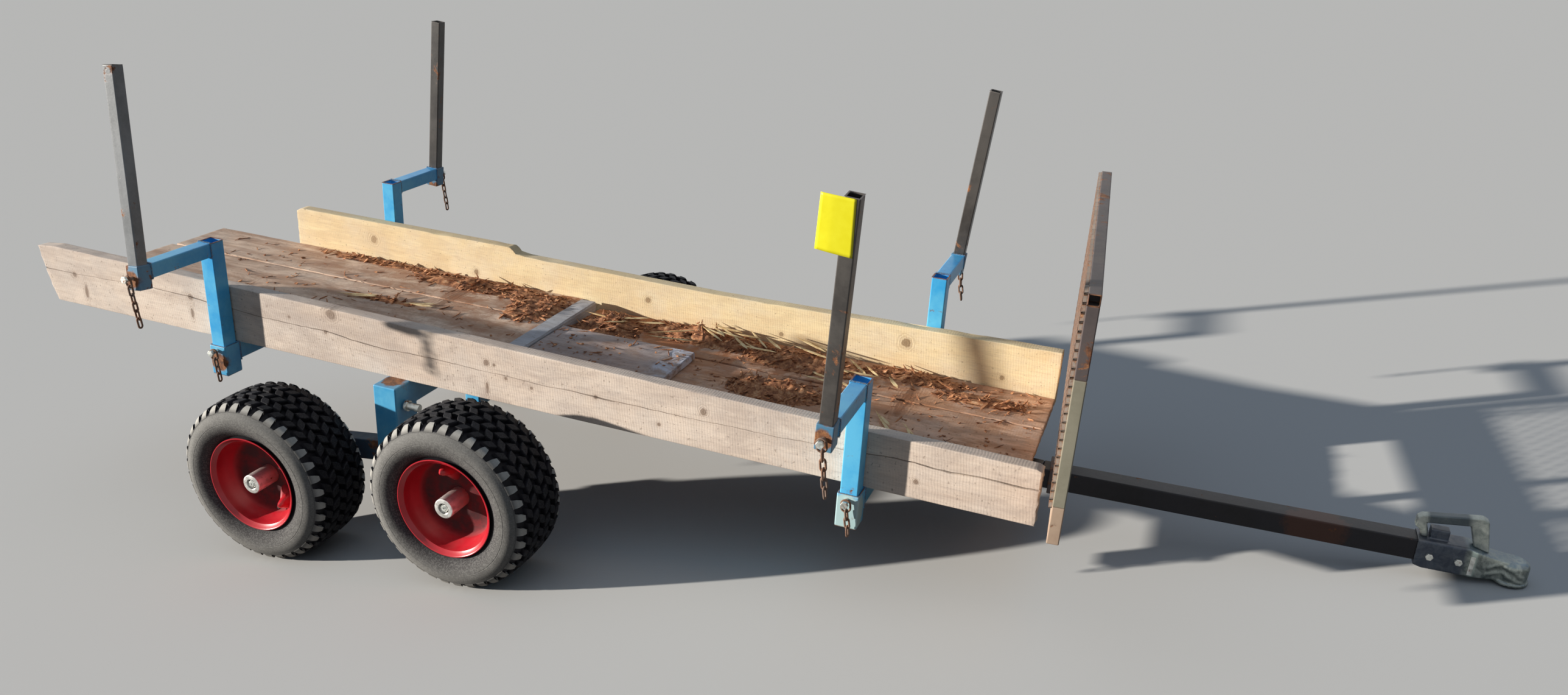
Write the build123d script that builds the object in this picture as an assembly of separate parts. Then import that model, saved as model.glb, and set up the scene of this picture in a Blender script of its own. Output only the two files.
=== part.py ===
from build123d import *
import math
import os

# ATV forestry trailer: a timber bed on a single spine, two bunks with cranked
# stake holders, a portal axle with two walking beams and a ball coupling.
# Millimetres. X runs forward to the coupling, Y to the trailer's left, Z up.
# The trailer is parked: four tyres and the coupling rest on the ground.
# "Bed" sizes are measured in the bed's own tilted frame: u forward from the
# headboard, v to the left, w up from the underside of the planks.

# Stance
bed_pitch = 7.97
bed_height = 223.8
drawbar_rise = 1.8

# Timber bed
plank_thickness = 44.0
plank_outer = 407.0
right_plank_front = -64.0
right_plank_rear = -3420.0
right_plank_front_height = 163.0
right_plank_rear_height = 195.0
left_plank_front = -125.0
left_plank_rear = -3055.0
left_plank_low = 158.0
left_plank_high = 190.0
left_plank_step = -2120.0
left_plank_ramp = 60.0
left_plank_dip = -1300.0
deck_rear_end = -3450.0
deck_stagger = 12.0
deck_step = -1800.0
deck_rear_thickness = 50.0
deck_front_thickness = 26.0
deck_side_gap = 3.0
board_gap = 7.0
batten_width = 62.0
batten_height = 60.0
batten_short = 25.0
patch_front = -1250.0
patch_left = 105.0
patch_thickness = 26.0

# Spine, drawbar and crossbar
spine_size = 60.0
spine_wall = 5.0
spine_top = -25.0
spine_rear = -2730.0
spine_front = -100.0
spine_open = 60.0
drawbar_front = 995.0
crossbar_u = -1768.0
crossbar_size = 50.0
crossbar_inset = 27.0

# Bunks and their sockets
bunk_size = 60.0
bunk_front_u = -546.0
bunk_rear_u = -2659.0
socket_size = 62.0
socket_depth = 100.0
fit_gap = 1.0

# Cranked stake holders and stakes
plank_to_upright = 4.0
upright_size = 50.0
upright_wall = 4.0
upright_top = 342.0
upright_open = 40.0
arm_reach = 271.0
arm_size = 45.0
sleeve_size = 46.0
sleeve_floor = 4.0
sleeve_height = 72.0
stake_size = 37.0
stake_wall = 3.0
stake_above = 553.0
stake_open = 30.0

# Lock pins and chains
pin_radius = 6.0
pin_fit = 0.1
pin_head = 11.0
pin_head_length = 8.0
pin_reach = 24.0
upper_pin_drop = 36.0
lower_pin_drop = 16.0
chain_ring_length = 40.0
chain_ring_width = 30.0
chain_link = 36.0
chain_link_width = 19.0
chain_wire = 5.5
upper_links = 5
lower_links = 3
chain_offset = 16.0
chain_play = 0.6

# Portal axle and walking beams
axle_u = -2013.0
axle_size = 80.0
axle_outer = 477.0
post_width = 100.0
post_depth = 178.0
cheek_thickness = 8.0
cheek_depth = 285.0
cheek_rear = 40.0
cheek_front = 63.0
pivot_ahead = 36.8
pivot_drop = 228.0
pivot_radius = 15.0
pivot_head = 23.0
pivot_head_length = 10.0
spacer_radius = 26.0
beam_height = 70.0
beam_width = 50.0
beam_end = 38.0
stub_shoulder = 22.0

# Wheels
wheel_spacing = 692.0
tyre_radius = 264.0
tyre_width = 238.0
tyre_to_axle = 30.0
rim_flange_radius = 152.0
rim_width = 214.0
rim_wall = 5.0
rim_well = 32.0
bead_drop = 10.0
flange_lip = 5.5
dish_depth = 83.0
disc_thickness = 8.0
shoulder_inset = 27.0
lug_count = 36
lug_depth = 16.0
lug_share = 0.52
lug_taper = 0.08
axle_radius = 15.0
running_fit = 0.05
hub_radius = 30.0
hub_back = 70.0
hub_inset = 3.0
hub_cap = 24.0
hub_flange_radius = 56.0
hub_flange_thickness = 12.0
seat_gap = 0.3

# Headboard
headboard_u = -51.0
headboard_yaw = 4.9
headboard_half_width = 598.0
headboard_bottom = 72.0
headboard_top = 708.0
headboard_rail = 100.0
headboard_bar = 30.0
mesh_long = 130.0
mesh_short = 61.0
mesh_strand = 7.0
mesh_thickness = 5.0
mesh_lap = 12.0
mesh_margin = 6.0
foot_width = 40.0
saddle_length = 56.0
saddle_thickness = 8.0
saddle_reach = 67.0
saddle_gap = 4.0

# Coupling, measured along the drawbar from its front end
shell_rear = -120.0
shell_half_width = 35.0
shell_top = 34.0
shell_bottom = -46.0
neck_start = 30.0
neck_half_width = 29.0
slope_front = 56.0
slope_top = 17.0
head_top = 10.0
ball_x = 110.0
cup_radius = 40.0
cup_lip = 4.0
cup_lip_height = 8.0
ball_radius = 25.0
ball_play = 0.6
cup_mouth = 22.0
housing_half_width = 16.0
housing_height = 28.0
housing_rear = 28.0
housing_front = 72.0
handle_half_width = 13.0
bolt_radius = 10.0
bolt_height = 8.0
rear_bolt = 33.0
front_bolt = 101.0
strap_thickness = 3.0

os.makedirs("parts", exist_ok=True)
nodes = {}

bed = Location((0, 0, bed_height), (0, bed_pitch, 0))
across = Rot(90, 0, 0)


def block(u0, u1, v0, v1, w0, w1):
    """Box between two corners."""
    mid = ((u0 + u1) / 2, (v0 + v1) / 2, (w0 + w1) / 2)
    return Pos(*mid) * Box(abs(u1 - u0), abs(v1 - v0), abs(w1 - w0))


def column(u, v, half, w0, w1):
    """Square bar standing on the point (u, v)."""
    return block(u - half, u + half, v - half, v + half, w0, w1)


def side_plane(v):
    """Plane that shows u to the right and w up; solids grow to -v."""
    return Plane(origin=(0, v, 0), x_dir=(1, 0, 0), z_dir=(0, -1, 0))


def prism(points, plane, depth):
    """Polygon pushed out of its plane by the depth."""
    return extrude(plane * make_face(Polyline(*points, close=True)), depth)


def turned(profile):
    """Solid turned about Z from a profile of radius against height."""
    return revolve(make_face(Plane.XZ * Polyline(*profile, close=True)), Axis.Z)


def rod(x, y0, y1, z, radius):
    """Round bar along Y between two sides."""
    return Pos(x, (y0 + y1) / 2, z) * across * Cylinder(radius, abs(y1 - y0))


def hex_head(x, y0, y1, z, radius):
    """Six-sided bolt head along Y between two sides."""
    place = Plane(origin=(x, max(y0, y1), z), x_dir=(1, 0, 0), z_dir=(0, -1, 0))
    return extrude(place * RegularPolygon(radius, 6), abs(y1 - y0))


# Spine and drawbar
half = spine_size / 2
bore = half - spine_wall
spine_mid = spine_top - half
spine = block(spine_rear, spine_front, -half, half, spine_top - spine_size, spine_top)
spine -= block(spine_rear - 1, spine_rear + spine_open, -bore, bore, spine_mid - bore, spine_mid + bore)
nodes["spine"] = bed * spine

bar_line = Location((spine_front, 0, spine_mid), (0, -drawbar_rise, 0))
bar_length = drawbar_front - spine_front
drawbar = bar_line * block(-spine_size, bar_length, -half, half, -half, half)
drawbar -= block(spine_front - 2 * spine_size, spine_front, -half - 1, half + 1, -3 * spine_size, spine_size)
nodes["drawbar"] = bed * drawbar


# Bunks: a cross tube coped over the spine, with a socket at each end
def cross_tube(u, size, reach):
    """Tube under the planks, cut out where the spine passes."""
    tube = block(u - size / 2, u + size / 2, -reach, reach, -size, 0)
    return tube - block(u - size, u + size, -half, half, -2 * size, spine_top)


deck_half_width = plank_outer - plank_thickness - deck_side_gap
upright_half = upright_size / 2
upright_v = plank_outer + plank_to_upright + upright_half
socket_half = socket_size / 2
socket_bore = upright_half + fit_gap
for name, u in (("bunk_front", bunk_front_u), ("bunk_rear", bunk_rear_u)):
    bunk = cross_tube(u, bunk_size, upright_v - socket_half + 1)
    for v in (-upright_v, upright_v):
        bunk += column(u, v, socket_half, -socket_depth, 0)
    for v in (-upright_v, upright_v):
        bunk -= column(u, v, socket_bore, -socket_depth - 1, 1)
    nodes[name] = bed * bunk

nodes["crossbar"] = bed * cross_tube(crossbar_u, crossbar_size, plank_outer - crossbar_inset)

# Cranked stake holders: upright, arm and a sleeve that leans with its stake.
# Columns: corner, place of the bunk, side, lean forward, lean to the left, how
# much its arm is lowered and how far its stake stands above the usual height.
corners = (
    ("front_right", bunk_front_u, -1, 3.4, -5.5, 18.0, 0.0),
    ("front_left", bunk_front_u, 1, 5.6, -0.9, 6.0, 0.0),
    ("rear_right", bunk_rear_u, -1, -5.5, 7.0, -2.0, 13.0),
    ("rear_left", bunk_rear_u, 1, 4.2, 1.0, 9.0, 0.0),
)
arm_half = arm_size / 2
sleeve_half = sleeve_size / 2
stake_half = stake_size / 2
sleeve_bore = stake_half + fit_gap
upright_bore = upright_half - upright_wall
stake_bore = stake_half - stake_wall
upright_foot = -socket_depth + 8
pins = []
chain_tops = []


def lock_pin(side, face, depth):
    """Pin through a wall at the given face, its head outboard, lying on Y."""
    tip = side * (face - depth)
    neck = side * (face + pin_reach)
    pin = rod(0, tip, neck, 0, pin_radius)
    return pin + hex_head(0, neck, neck + side * pin_head_length, 0, pin_head)


for corner, u, side, lean_forward, lean_left, lowered, taller in corners:
    v = side * upright_v
    top = upright_top - lowered
    lower_at = bed * Pos(u, v, -lower_pin_drop)
    sleeve_at = Pos(u, side * (upright_v + arm_reach), top) * Rot(-lean_left, lean_forward, 0)
    upper_at = bed * sleeve_at * Pos(0, 0, -upper_pin_drop)
    holder = column(u, v, upright_half, upright_foot, top)
    holder -= column(u, v, upright_bore, top - upright_open, top + 1)
    arm_in = side * (upright_v + upright_half - 0.5)
    arm_out = side * (upright_v + arm_reach - stake_half)
    holder += block(u - arm_half, u + arm_half, arm_in, arm_out, top - arm_size, top)
    holder += sleeve_at * column(0, 0, sleeve_half, -sleeve_height, 0)
    holder -= sleeve_at * column(0, 0, sleeve_bore, sleeve_floor - sleeve_height, upright_size)
    stake_top = stake_above + lowered + taller
    stake = column(0, 0, stake_half, sleeve_floor - sleeve_height, stake_top)
    stake -= column(0, 0, stake_bore, stake_top - stake_open, stake_top + 1)
    stake = bed * sleeve_at * stake
    holder = bed * holder
    upper_hole = upper_at * rod(0, 0, side * sleeve_size, 0, pin_radius + pin_fit)
    lower_hole = lower_at * rod(0, 0, side * socket_size, 0, pin_radius + pin_fit)
    nodes["stake_holder_" + corner] = holder - upper_hole - lower_hole
    nodes["stake_" + corner] = stake - upper_hole
    nodes["bunk_" + corner.split("_")[0]] -= lower_hole
    pins.append(upper_at * lock_pin(side, sleeve_half, sleeve_half - 2))
    pins.append(lower_at * lock_pin(side, socket_half, socket_half - 2))
    upper_chain = upper_at * Pos(0, side * (sleeve_half + chain_offset), 0)
    lower_chain = lower_at * Pos(0, side * (socket_half + chain_offset), 0)
    chain_tops.append((upper_chain.position, upper_links))
    chain_tops.append((lower_chain.position, lower_links))
nodes["lock_pins"] = Compound(pins)


# Rusty chains hanging from the pins: a ring and a few links each
def link(long, wide, wire):
    """Flat link standing in the XZ plane."""
    a = wide / 2
    b = long / 2
    outer = [(-a, -b + a / 2), (-a / 2, -b), (a / 2, -b), (a, -b + a / 2),
             (a, b - a / 2), (a / 2, b), (-a / 2, b), (-a, b - a / 2)]
    face = make_face(Polyline(*outer, close=True)) - Rectangle(wide - 2 * wire, long - 2 * wire)
    return extrude(side_plane(wire / 2) * face, wire)


ring_link = link(chain_ring_length, chain_ring_width, chain_wire)
plain_link = link(chain_link, chain_link_width, chain_wire)
chains = []
for top, link_count in chain_tops:
    z = top.Z + pin_radius + chain_play - (chain_ring_length / 2 - chain_wire)
    chains.append(Pos(top.X, top.Y, z) * ring_link)
    z = z - (chain_ring_length / 2 - chain_wire) + chain_play - (chain_link / 2 - chain_wire)
    for i in range(link_count):
        chains.append(Pos(top.X, top.Y, z) * Rot(0, 0, 90 if i % 2 == 0 else 0) * plain_link)
        z = z - (chain_link - 2 * chain_wire - chain_play)
nodes["chains"] = Compound(chains)

# Portal axle: cross tube, two posts and two pairs of cheeks
axle_half = axle_size / 2
post_mid = axle_outer - post_width / 2
inner_face = axle_outer - post_width
cheek_out = axle_outer - cheek_thickness
cheek_in = inner_face + cheek_thickness
pivot = (bed * Pos(axle_u + pivot_ahead, 0, -pivot_drop)).position
axle = cross_tube(axle_u, axle_size, axle_outer)
for side in (-1, 1):
    axle += block(axle_u - axle_half, axle_u + axle_half, side * inner_face, side * axle_outer,
                  -post_depth, -1)
    for v0, v1 in ((cheek_out, axle_outer), (inner_face, cheek_in)):
        axle += block(axle_u - cheek_rear, axle_u + cheek_front, side * v0, side * v1, -cheek_depth,
                      -post_depth + 1)
axle = bed * axle
for side in (-1, 1):
    reach = post_width / 2 + 10
    axle -= rod(pivot.X, side * (post_mid - reach), side * (post_mid + reach), pivot.Z,
                pivot_radius + running_fit)
nodes["axle_frame"] = axle

# Walking beams with stub axles, and the pivot pins with their spacers
wheel_front_x = pivot.X + wheel_spacing / 2
wheel_rear_x = pivot.X - wheel_spacing / 2
half_tyre = tyre_width / 2
half_rim = rim_width / 2
wheel_y = axle_outer + tyre_to_axle + half_tyre
hub_front = half_rim - hub_inset
hub_bore_end = hub_front - hub_cap
beam_in = post_mid - beam_width / 2
beam_out = post_mid + beam_width / 2
pivots = []
for side, name in ((-1, "right"), (1, "left")):
    beam = block(wheel_rear_x - beam_end, wheel_front_x + beam_end, side * beam_in, side * beam_out,
                 pivot.Z - beam_height / 2, pivot.Z + beam_height / 2)
    beam -= rod(pivot.X, side * (beam_in - 1), side * (beam_out + 1), pivot.Z, pivot_radius + running_fit)
    for x in (wheel_front_x, wheel_rear_x):
        shoulder_end = wheel_y - hub_back - 6
        beam += rod(x, side * (beam_out - 1), side * shoulder_end, tyre_radius, stub_shoulder)
        axle_end = wheel_y + hub_bore_end - 8
        beam += rod(x, side * (shoulder_end - 1), side * axle_end, tyre_radius, axle_radius)
    nodes["walking_beam_" + name] = beam
    pin = rod(pivot.X, side * (inner_face - 1), side * (axle_outer + 1), pivot.Z, pivot_radius)
    pin += hex_head(pivot.X, side * axle_outer, side * (axle_outer + pivot_head_length), pivot.Z, pivot_head)
    pin += hex_head(pivot.X, side * inner_face, side * (inner_face - pivot_head_length), pivot.Z, pivot_head)
    pin += rod(pivot.X, side * cheek_in, side * beam_in, pivot.Z, spacer_radius)
    pin += rod(pivot.X, side * beam_out, side * cheek_out, pivot.Z, spacer_radius)
    pivots.append(pin)
nodes["bogie_pins"] = Compound(pivots)

# Tyre: a carcass turned about the wheel axis, with a toothed ring of lugs round it
bead = rim_flange_radius - bead_drop
lug_root = tyre_radius - lug_depth
half_tread = half_tyre - shoulder_inset
half_profile = [
    (bead, half_rim - 9.5), (tyre_radius - 58, half_tyre), (tyre_radius - 24, half_tyre - 9),
    (lug_root - 1, half_tread),
]
tyre_profile = [(r, -y) for r, y in half_profile] + [(r, y) for r, y in reversed(half_profile)]
step = 360.0 / lug_count
lug_tip = tyre_radius / math.cos(math.radians(lug_share / 2 * step))
tooth = ((0.0, lug_tip), (lug_share, lug_tip), (lug_share + lug_taper, lug_root), (1 - lug_taper, lug_root))
tooth_points = []
for i in range(lug_count):
    for part, r in tooth:
        a = math.radians((i + part - lug_share / 2) * step - 90)
        tooth_points.append((r * math.cos(a), r * math.sin(a)))
ring_face = make_face(Polyline(*tooth_points, close=True)) - Circle(lug_root - 10)
tyre = turned(tyre_profile) + Pos(0, 0, -half_tread) * extrude(ring_face, 2 * half_tread)

# Rim: flanges, a drop centre and a disc at the bottom of the outer dish
barrel = bead - 0.1
disc_front = half_rim - dish_depth
disc_back = disc_front - disc_thickness
well = barrel - rim_well
rim_profile = [
    (rim_flange_radius, -half_rim), (barrel, -half_rim + 9), (well + rim_wall, disc_back),
    (barrel, half_rim - 9), (rim_flange_radius, half_rim), (rim_flange_radius - flange_lip, half_rim),
    (barrel - rim_wall, half_rim - 10), (well, disc_front), (hub_radius + seat_gap, disc_front),
    (hub_radius + seat_gap, disc_back), (well, disc_back), (barrel - rim_wall, -half_rim + 10),
    (rim_flange_radius - flange_lip, -half_rim),
]
rim = turned(rim_profile)

# Hub: a barrel on the stub axle with a flange behind the disc
hub_seat = disc_back - seat_gap
hub_profile = [
    (axle_radius + running_fit, -hub_back), (hub_radius, -hub_back),
    (hub_radius, hub_seat - hub_flange_thickness), (hub_flange_radius, hub_seat - hub_flange_thickness),
    (hub_flange_radius, hub_seat), (hub_radius, hub_seat), (hub_radius, hub_front),
    (0, hub_front), (0, hub_bore_end), (axle_radius + running_fit, hub_bore_end),
]
hub = turned(hub_profile)

for end, x in (("front", wheel_front_x), ("rear", wheel_rear_x)):
    for name, side in (("right", -1), ("left", 1)):
        place = Location((x, side * wheel_y, tyre_radius), (-90 * side, 0, 0))
        corner = end + "_" + name
        nodes["tyre_" + corner] = place * tyre
        nodes["rim_" + corner] = place * rim
        nodes["hub_" + corner] = place * hub

# Side planks, tapered and rough-ended as sawn
right_points = [
    (right_plank_rear, 8), (right_plank_rear + 30, 0), (right_plank_front - 12, 0),
    (right_plank_front, 12), (right_plank_front, right_plank_front_height - 6),
    (right_plank_front - 10, right_plank_front_height),
    (right_plank_rear + 40, right_plank_rear_height), (right_plank_rear - 34, right_plank_rear_height - 8),
]
right_plane = side_plane(plank_thickness - plank_outer)
nodes["side_plank_right"] = bed * prism(right_points, right_plane, plank_thickness)
left_points = [
    (left_plank_rear, 0), (left_plank_front, 0), (left_plank_front, left_plank_high - 10),
    (left_plank_dip, left_plank_low), (left_plank_step + left_plank_ramp, left_plank_low + 6),
    (left_plank_step, left_plank_high), (left_plank_rear + 20, left_plank_high),
    (left_plank_rear, left_plank_high - 12),
]
nodes["side_plank_left"] = bed * prism(left_points, side_plane(plank_outer), plank_thickness)

# Deck boards
board = (2 * deck_half_width - 2 * board_gap) / 3
batten_front = deck_step + batten_width
rear_boards = []
front_boards = []
for i in range(3):
    v0 = -deck_half_width + i * (board + board_gap)
    v1 = v0 + board
    rear_end = deck_rear_end + deck_stagger * i
    rear_boards.append(bed * block(rear_end, deck_step, v0, v1, 0, deck_rear_thickness))
    front_boards.append(bed * block(batten_front, left_plank_front, v0, v1, 0, deck_front_thickness))
nodes["deck_boards_rear"] = Compound(rear_boards)
nodes["deck_boards_front"] = Compound(front_boards)
batten_left = deck_half_width - batten_short
nodes["deck_batten"] = bed * block(deck_step, batten_front, -deck_half_width, batten_left, 0, batten_height)
nodes["deck_patch"] = bed * block(batten_front, patch_front, -deck_half_width, patch_left,
                                  deck_front_thickness, deck_front_thickness + patch_thickness)

# Headboard: welded frame with expanded mesh on the load side
board_place = bed * Location((headboard_u, 0, 0), (0, 0, headboard_yaw))
bar = headboard_bar
bar_half = bar / 2
hw = headboard_half_width
frame = block(-bar_half, bar_half, -hw, hw, headboard_bottom, headboard_bottom + headboard_rail)
frame += block(-bar_half, bar_half, -hw, hw, headboard_top - bar, headboard_top)
bar_foot = headboard_bottom + headboard_rail - 1
for v0 in (-hw, hw - bar, -bar_half):
    frame += block(-bar_half, bar_half, v0, v0 + bar, bar_foot, headboard_top - bar + 1)
nodes["headboard_frame"] = board_place * frame

mesh_low = headboard_bottom + headboard_rail - mesh_lap
mesh_high = headboard_top - mesh_margin
mesh_half = hw - mesh_margin
sheet = Pos(0, (mesh_low + mesh_high) / 2) * Rectangle(2 * mesh_half, mesh_high - mesh_low)
rows = int((mesh_high - mesh_low - mesh_margin) / (mesh_short / 2))
columns = int((2 * mesh_half - mesh_margin) / mesh_long)
reach_y = mesh_long / 2 - mesh_strand
reach_z = mesh_short / 2 - mesh_strand * mesh_short / mesh_long
holes = []
for row in range(1, rows):
    offset = row % 2 / 2
    for column_no in range(columns - row % 2):
        cy = (column_no + offset + 0.5 - columns / 2) * mesh_long
        cz = mesh_low + mesh_margin + row * mesh_short / 2
        diamond = ((cy - reach_y, cz), (cy, cz - reach_z), (cy + reach_y, cz), (cy, cz + reach_z))
        holes.append(make_face(Polyline(*diamond, close=True)))
sheet -= holes
mesh_plane = Plane(origin=(-bar_half - mesh_thickness, 0, 0), x_dir=(0, 1, 0), z_dir=(1, 0, 0))
nodes["headboard_mesh"] = board_place * extrude(mesh_plane * sheet, mesh_thickness)

# Post and saddle that hold the headboard on the drawbar
saddle_in = half + saddle_gap
saddle_out = saddle_in + saddle_thickness
saddle_top = spine_top + saddle_thickness + 5
saddle_half = saddle_length / 2
mount = block(-bar_half, bar_half, -foot_width / 2, foot_width / 2, spine_top - 3, headboard_bottom)
mount += block(-saddle_half, saddle_half, -saddle_out, saddle_out, spine_top - 5, saddle_top)
for side in (-1, 1):
    mount += block(-saddle_half, saddle_half, side * saddle_in, side * saddle_out,
                   spine_top - saddle_reach, saddle_top)
nodes["headboard_post"] = board_place * mount - nodes["drawbar"]

# Ball coupling clamped round the end of the drawbar; its cup rests on the ground
nose = bed * bar_line * Location((bar_length, 0, 0))
head = (nose * Pos(ball_x, 0, 0)).position
nose_pitch = math.radians(bed_pitch - drawbar_rise)
cup_drop = (head.Z - (cup_radius + cup_lip) * math.sin(nose_pitch)) / math.cos(nose_pitch)
side_outline = [
    (shell_rear, shell_bottom + 6), (shell_rear, shell_top), (0, shell_top), (slope_front, slope_top),
    (ball_x, head_top), (ball_x, shell_bottom + 4), (neck_start, shell_bottom),
    (shell_rear + 20, shell_bottom),
]
plan_outline = [
    (shell_rear, -shell_half_width), (neck_start, -shell_half_width), (neck_start + 30, -neck_half_width),
    (ball_x, -neck_half_width), (ball_x, neck_half_width), (neck_start + 30, neck_half_width),
    (neck_start, shell_half_width), (shell_rear, shell_half_width),
]
shell = prism(side_outline, side_plane(shell_half_width), 2 * shell_half_width)
shell = shell & (Pos(0, 0, shell_bottom - 1) * extrude(make_face(Polyline(*plan_outline, close=True)), 120))
long_edges = shell.edges().filter_by(lambda e: e.length > 100 and e.center().Z > shell_top - 1)
shell = fillet(long_edges, 7)
dome = Pos(ball_x, 0, (head_top - cup_drop) / 2) * Cylinder(cup_radius, head_top + cup_drop)
dome = fillet(dome.edges().sort_by(Axis.Z)[-1], 14)
shell = shell + dome
shell += Pos(ball_x, 0, -cup_drop + cup_lip_height / 2) * Cylinder(cup_radius + cup_lip, cup_lip_height)
shell += block(shell_rear + housing_rear, shell_rear + housing_front, -housing_half_width,
               housing_half_width, shell_top - 1, shell_top + housing_height)
shell -= block(shell_rear - 1, 0, -half, half, -half, half)
ball_hole = ball_radius + ball_play
shell -= Pos(ball_x, 0, -cup_drop + cup_mouth / 2 - 1) * Cylinder(ball_hole, cup_mouth + 2)
shell -= Pos(ball_x, 0, -cup_drop + cup_mouth) * Sphere(ball_hole)
nodes["coupling_body"] = nose * shell

# Handle: a flat-sided loop with a broad front leg that stands on the sloping neck
def on_slope(x):
    """Point of the neck's sloping top."""
    return x, shell_top - (shell_top - slope_top) * x / slope_front


handle_outer = [
    (-112, shell_top), (-118, 52), (-131, 60), (-130, 86), (-118, 95), (18, 114), (32, 107),
    on_slope(50),
]
handle_inner = [(-96, shell_top), (-100, 56), (-106, 74), (-6, 86), on_slope(12)]
handle_points = handle_outer + list(reversed(handle_inner))
handle = prism(handle_points, side_plane(handle_half_width), 2 * handle_half_width)
nodes["coupling_handle"] = nose * handle

# Clamp bolts and the straps of the catch
fastenings = []
for side in (-1, 1):
    face = side * shell_half_width
    for x in (shell_rear + rear_bolt, shell_rear + front_bolt):
        fastenings.append(nose * hex_head(x, face, face + side * bolt_height, -8, bolt_radius))
    fastenings.append(nose * block(6, 18, face, face + side * strap_thickness, -40, 14))
nodes["coupling_bolts"] = Compound(fastenings)

# The frame's origin is the middle of the trailer's box, on the ground
boxes = [shape.bounding_box() for shape in nodes.values()]
low_x = min(box.min.X for box in boxes)
high_x = max(box.max.X for box in boxes)
low_y = min(box.min.Y for box in boxes)
high_y = max(box.max.Y for box in boxes)
low_z = min(box.min.Z for box in boxes)
shift = Pos(-(low_x + high_x) / 2, -(low_y + high_y) / 2, -low_z)
for name, shape in nodes.items():
    export_step(shift * shape, "parts/" + name + ".step")
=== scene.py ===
import bmesh
import bpy
import math
import random
from mathutils import Matrix, Vector, noise


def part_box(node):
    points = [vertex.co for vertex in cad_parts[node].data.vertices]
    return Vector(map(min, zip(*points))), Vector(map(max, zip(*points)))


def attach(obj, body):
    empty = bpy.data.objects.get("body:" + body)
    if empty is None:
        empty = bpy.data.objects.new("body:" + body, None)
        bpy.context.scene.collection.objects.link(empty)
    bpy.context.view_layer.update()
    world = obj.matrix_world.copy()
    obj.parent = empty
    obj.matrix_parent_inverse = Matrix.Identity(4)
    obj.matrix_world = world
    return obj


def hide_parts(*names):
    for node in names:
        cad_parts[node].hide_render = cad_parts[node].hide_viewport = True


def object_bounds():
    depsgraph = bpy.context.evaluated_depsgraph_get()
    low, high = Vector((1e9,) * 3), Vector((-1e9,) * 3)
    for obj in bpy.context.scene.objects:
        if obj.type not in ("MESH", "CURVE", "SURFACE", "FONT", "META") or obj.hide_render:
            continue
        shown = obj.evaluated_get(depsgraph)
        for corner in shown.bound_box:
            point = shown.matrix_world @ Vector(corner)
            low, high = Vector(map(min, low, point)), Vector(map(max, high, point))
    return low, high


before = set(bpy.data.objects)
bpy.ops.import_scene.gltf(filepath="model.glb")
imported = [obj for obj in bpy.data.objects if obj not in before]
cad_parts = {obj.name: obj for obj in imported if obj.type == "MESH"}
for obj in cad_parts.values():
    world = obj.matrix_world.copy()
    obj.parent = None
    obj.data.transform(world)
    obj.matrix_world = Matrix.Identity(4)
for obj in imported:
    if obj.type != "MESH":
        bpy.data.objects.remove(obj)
cad_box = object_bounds()


# Floor, soft low daylight from behind the load and the camera, which stands at
# the right front of the trailer. None of it belongs to the trailer.
def feed(tree, socket, value):
    """Gives a socket another node's output or a plain value; a colour may leave out its alpha."""
    if isinstance(value, bpy.types.NodeSocket):
        tree.links.new(value, socket)
    elif socket.type == "RGBA" and len(value) == 3:
        socket.default_value = (*value, 1)
    else:
        socket.default_value = value


def add(tree, kind, inputs=(), **settings):
    """A node with its settings; each input is a value or another node's output."""
    made = tree.nodes.new(kind)
    for label, value in settings.items():
        setattr(made, label, value)
    for label, value in dict(inputs).items():
        feed(tree, made.inputs[label], value)
    return made


def one(tree, kind, inputs=(), **settings):
    """The first output of such a node."""
    return add(tree, kind, inputs, **settings).outputs[0]


def calc(tree, operation, a, b=0.0, c=0.0):
    """A sum on one or more values."""
    return one(tree, "ShaderNodeMath", {0: a, 1: b, 2: c}, operation=operation)


def tint(tree, share, a, b):
    """Colour a turning into colour b by the share."""
    return add(tree, "ShaderNodeMix", {0: share, 6: a, 7: b}, data_type="RGBA").outputs[2]


def surface(name, **plain):
    """A material with one shader, whose plain values are given by name."""
    made = bpy.data.materials.new(name)
    made.use_nodes = True
    shader = made.node_tree.nodes["Principled BSDF"]
    for label, value in plain.items():
        shader.inputs[label.replace("_", " ")].default_value = value
    return made, made.node_tree, shader


def in_scene(name, data):
    """An object at the origin."""
    made = bpy.data.objects.new(name, data)
    bpy.context.scene.collection.objects.link(made)
    return made


def mesh_piece(name, points=(), faces=(), material=None, edges=()):
    """An object at the origin whose place is in its mesh."""
    mesh = bpy.data.meshes.new(name)
    mesh.from_pydata([tuple(p) for p in points], edges, [tuple(f) for f in faces])
    if material:
        mesh.materials.append(material)
    return in_scene(name, mesh)


def square(half):
    """The four corners of a square about the origin, in turn."""
    return ((-half, -half), (half, -half), (half, half), (-half, half))


floor_paint, tree, shader = surface("floor_paint", Roughness=1.0, Specular_IOR_Level=0.0)
ray = add(tree, "ShaderNodeLightPath").outputs
shown = calc(tree, "MAXIMUM", ray["Is Camera Ray"], ray["Is Glossy Ray"])
feed(tree, shader.inputs["Base Color"], tint(tree, shown, (0.15, 0.14, 0.13), (0.62, 0.61, 0.59)))
half_floor = 150.0
floor = mesh_piece("floor", [(x, y, 0.0) for x, y in square(half_floor)], [range(4)], floor_paint)

sun = bpy.data.lights.new("low_sun", "SUN")
sun.energy = 6.6
sun.angle = math.radians(1.2)
sun.color = (1.0, 0.955, 0.88)
sun_object = in_scene("low_sun", sun)
sun_object.rotation_mode = "QUATERNION"
sun_object.rotation_quaternion = Vector((0.86876, 0.4123, -0.27432)).to_track_quat("-Z", "Y")

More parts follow.
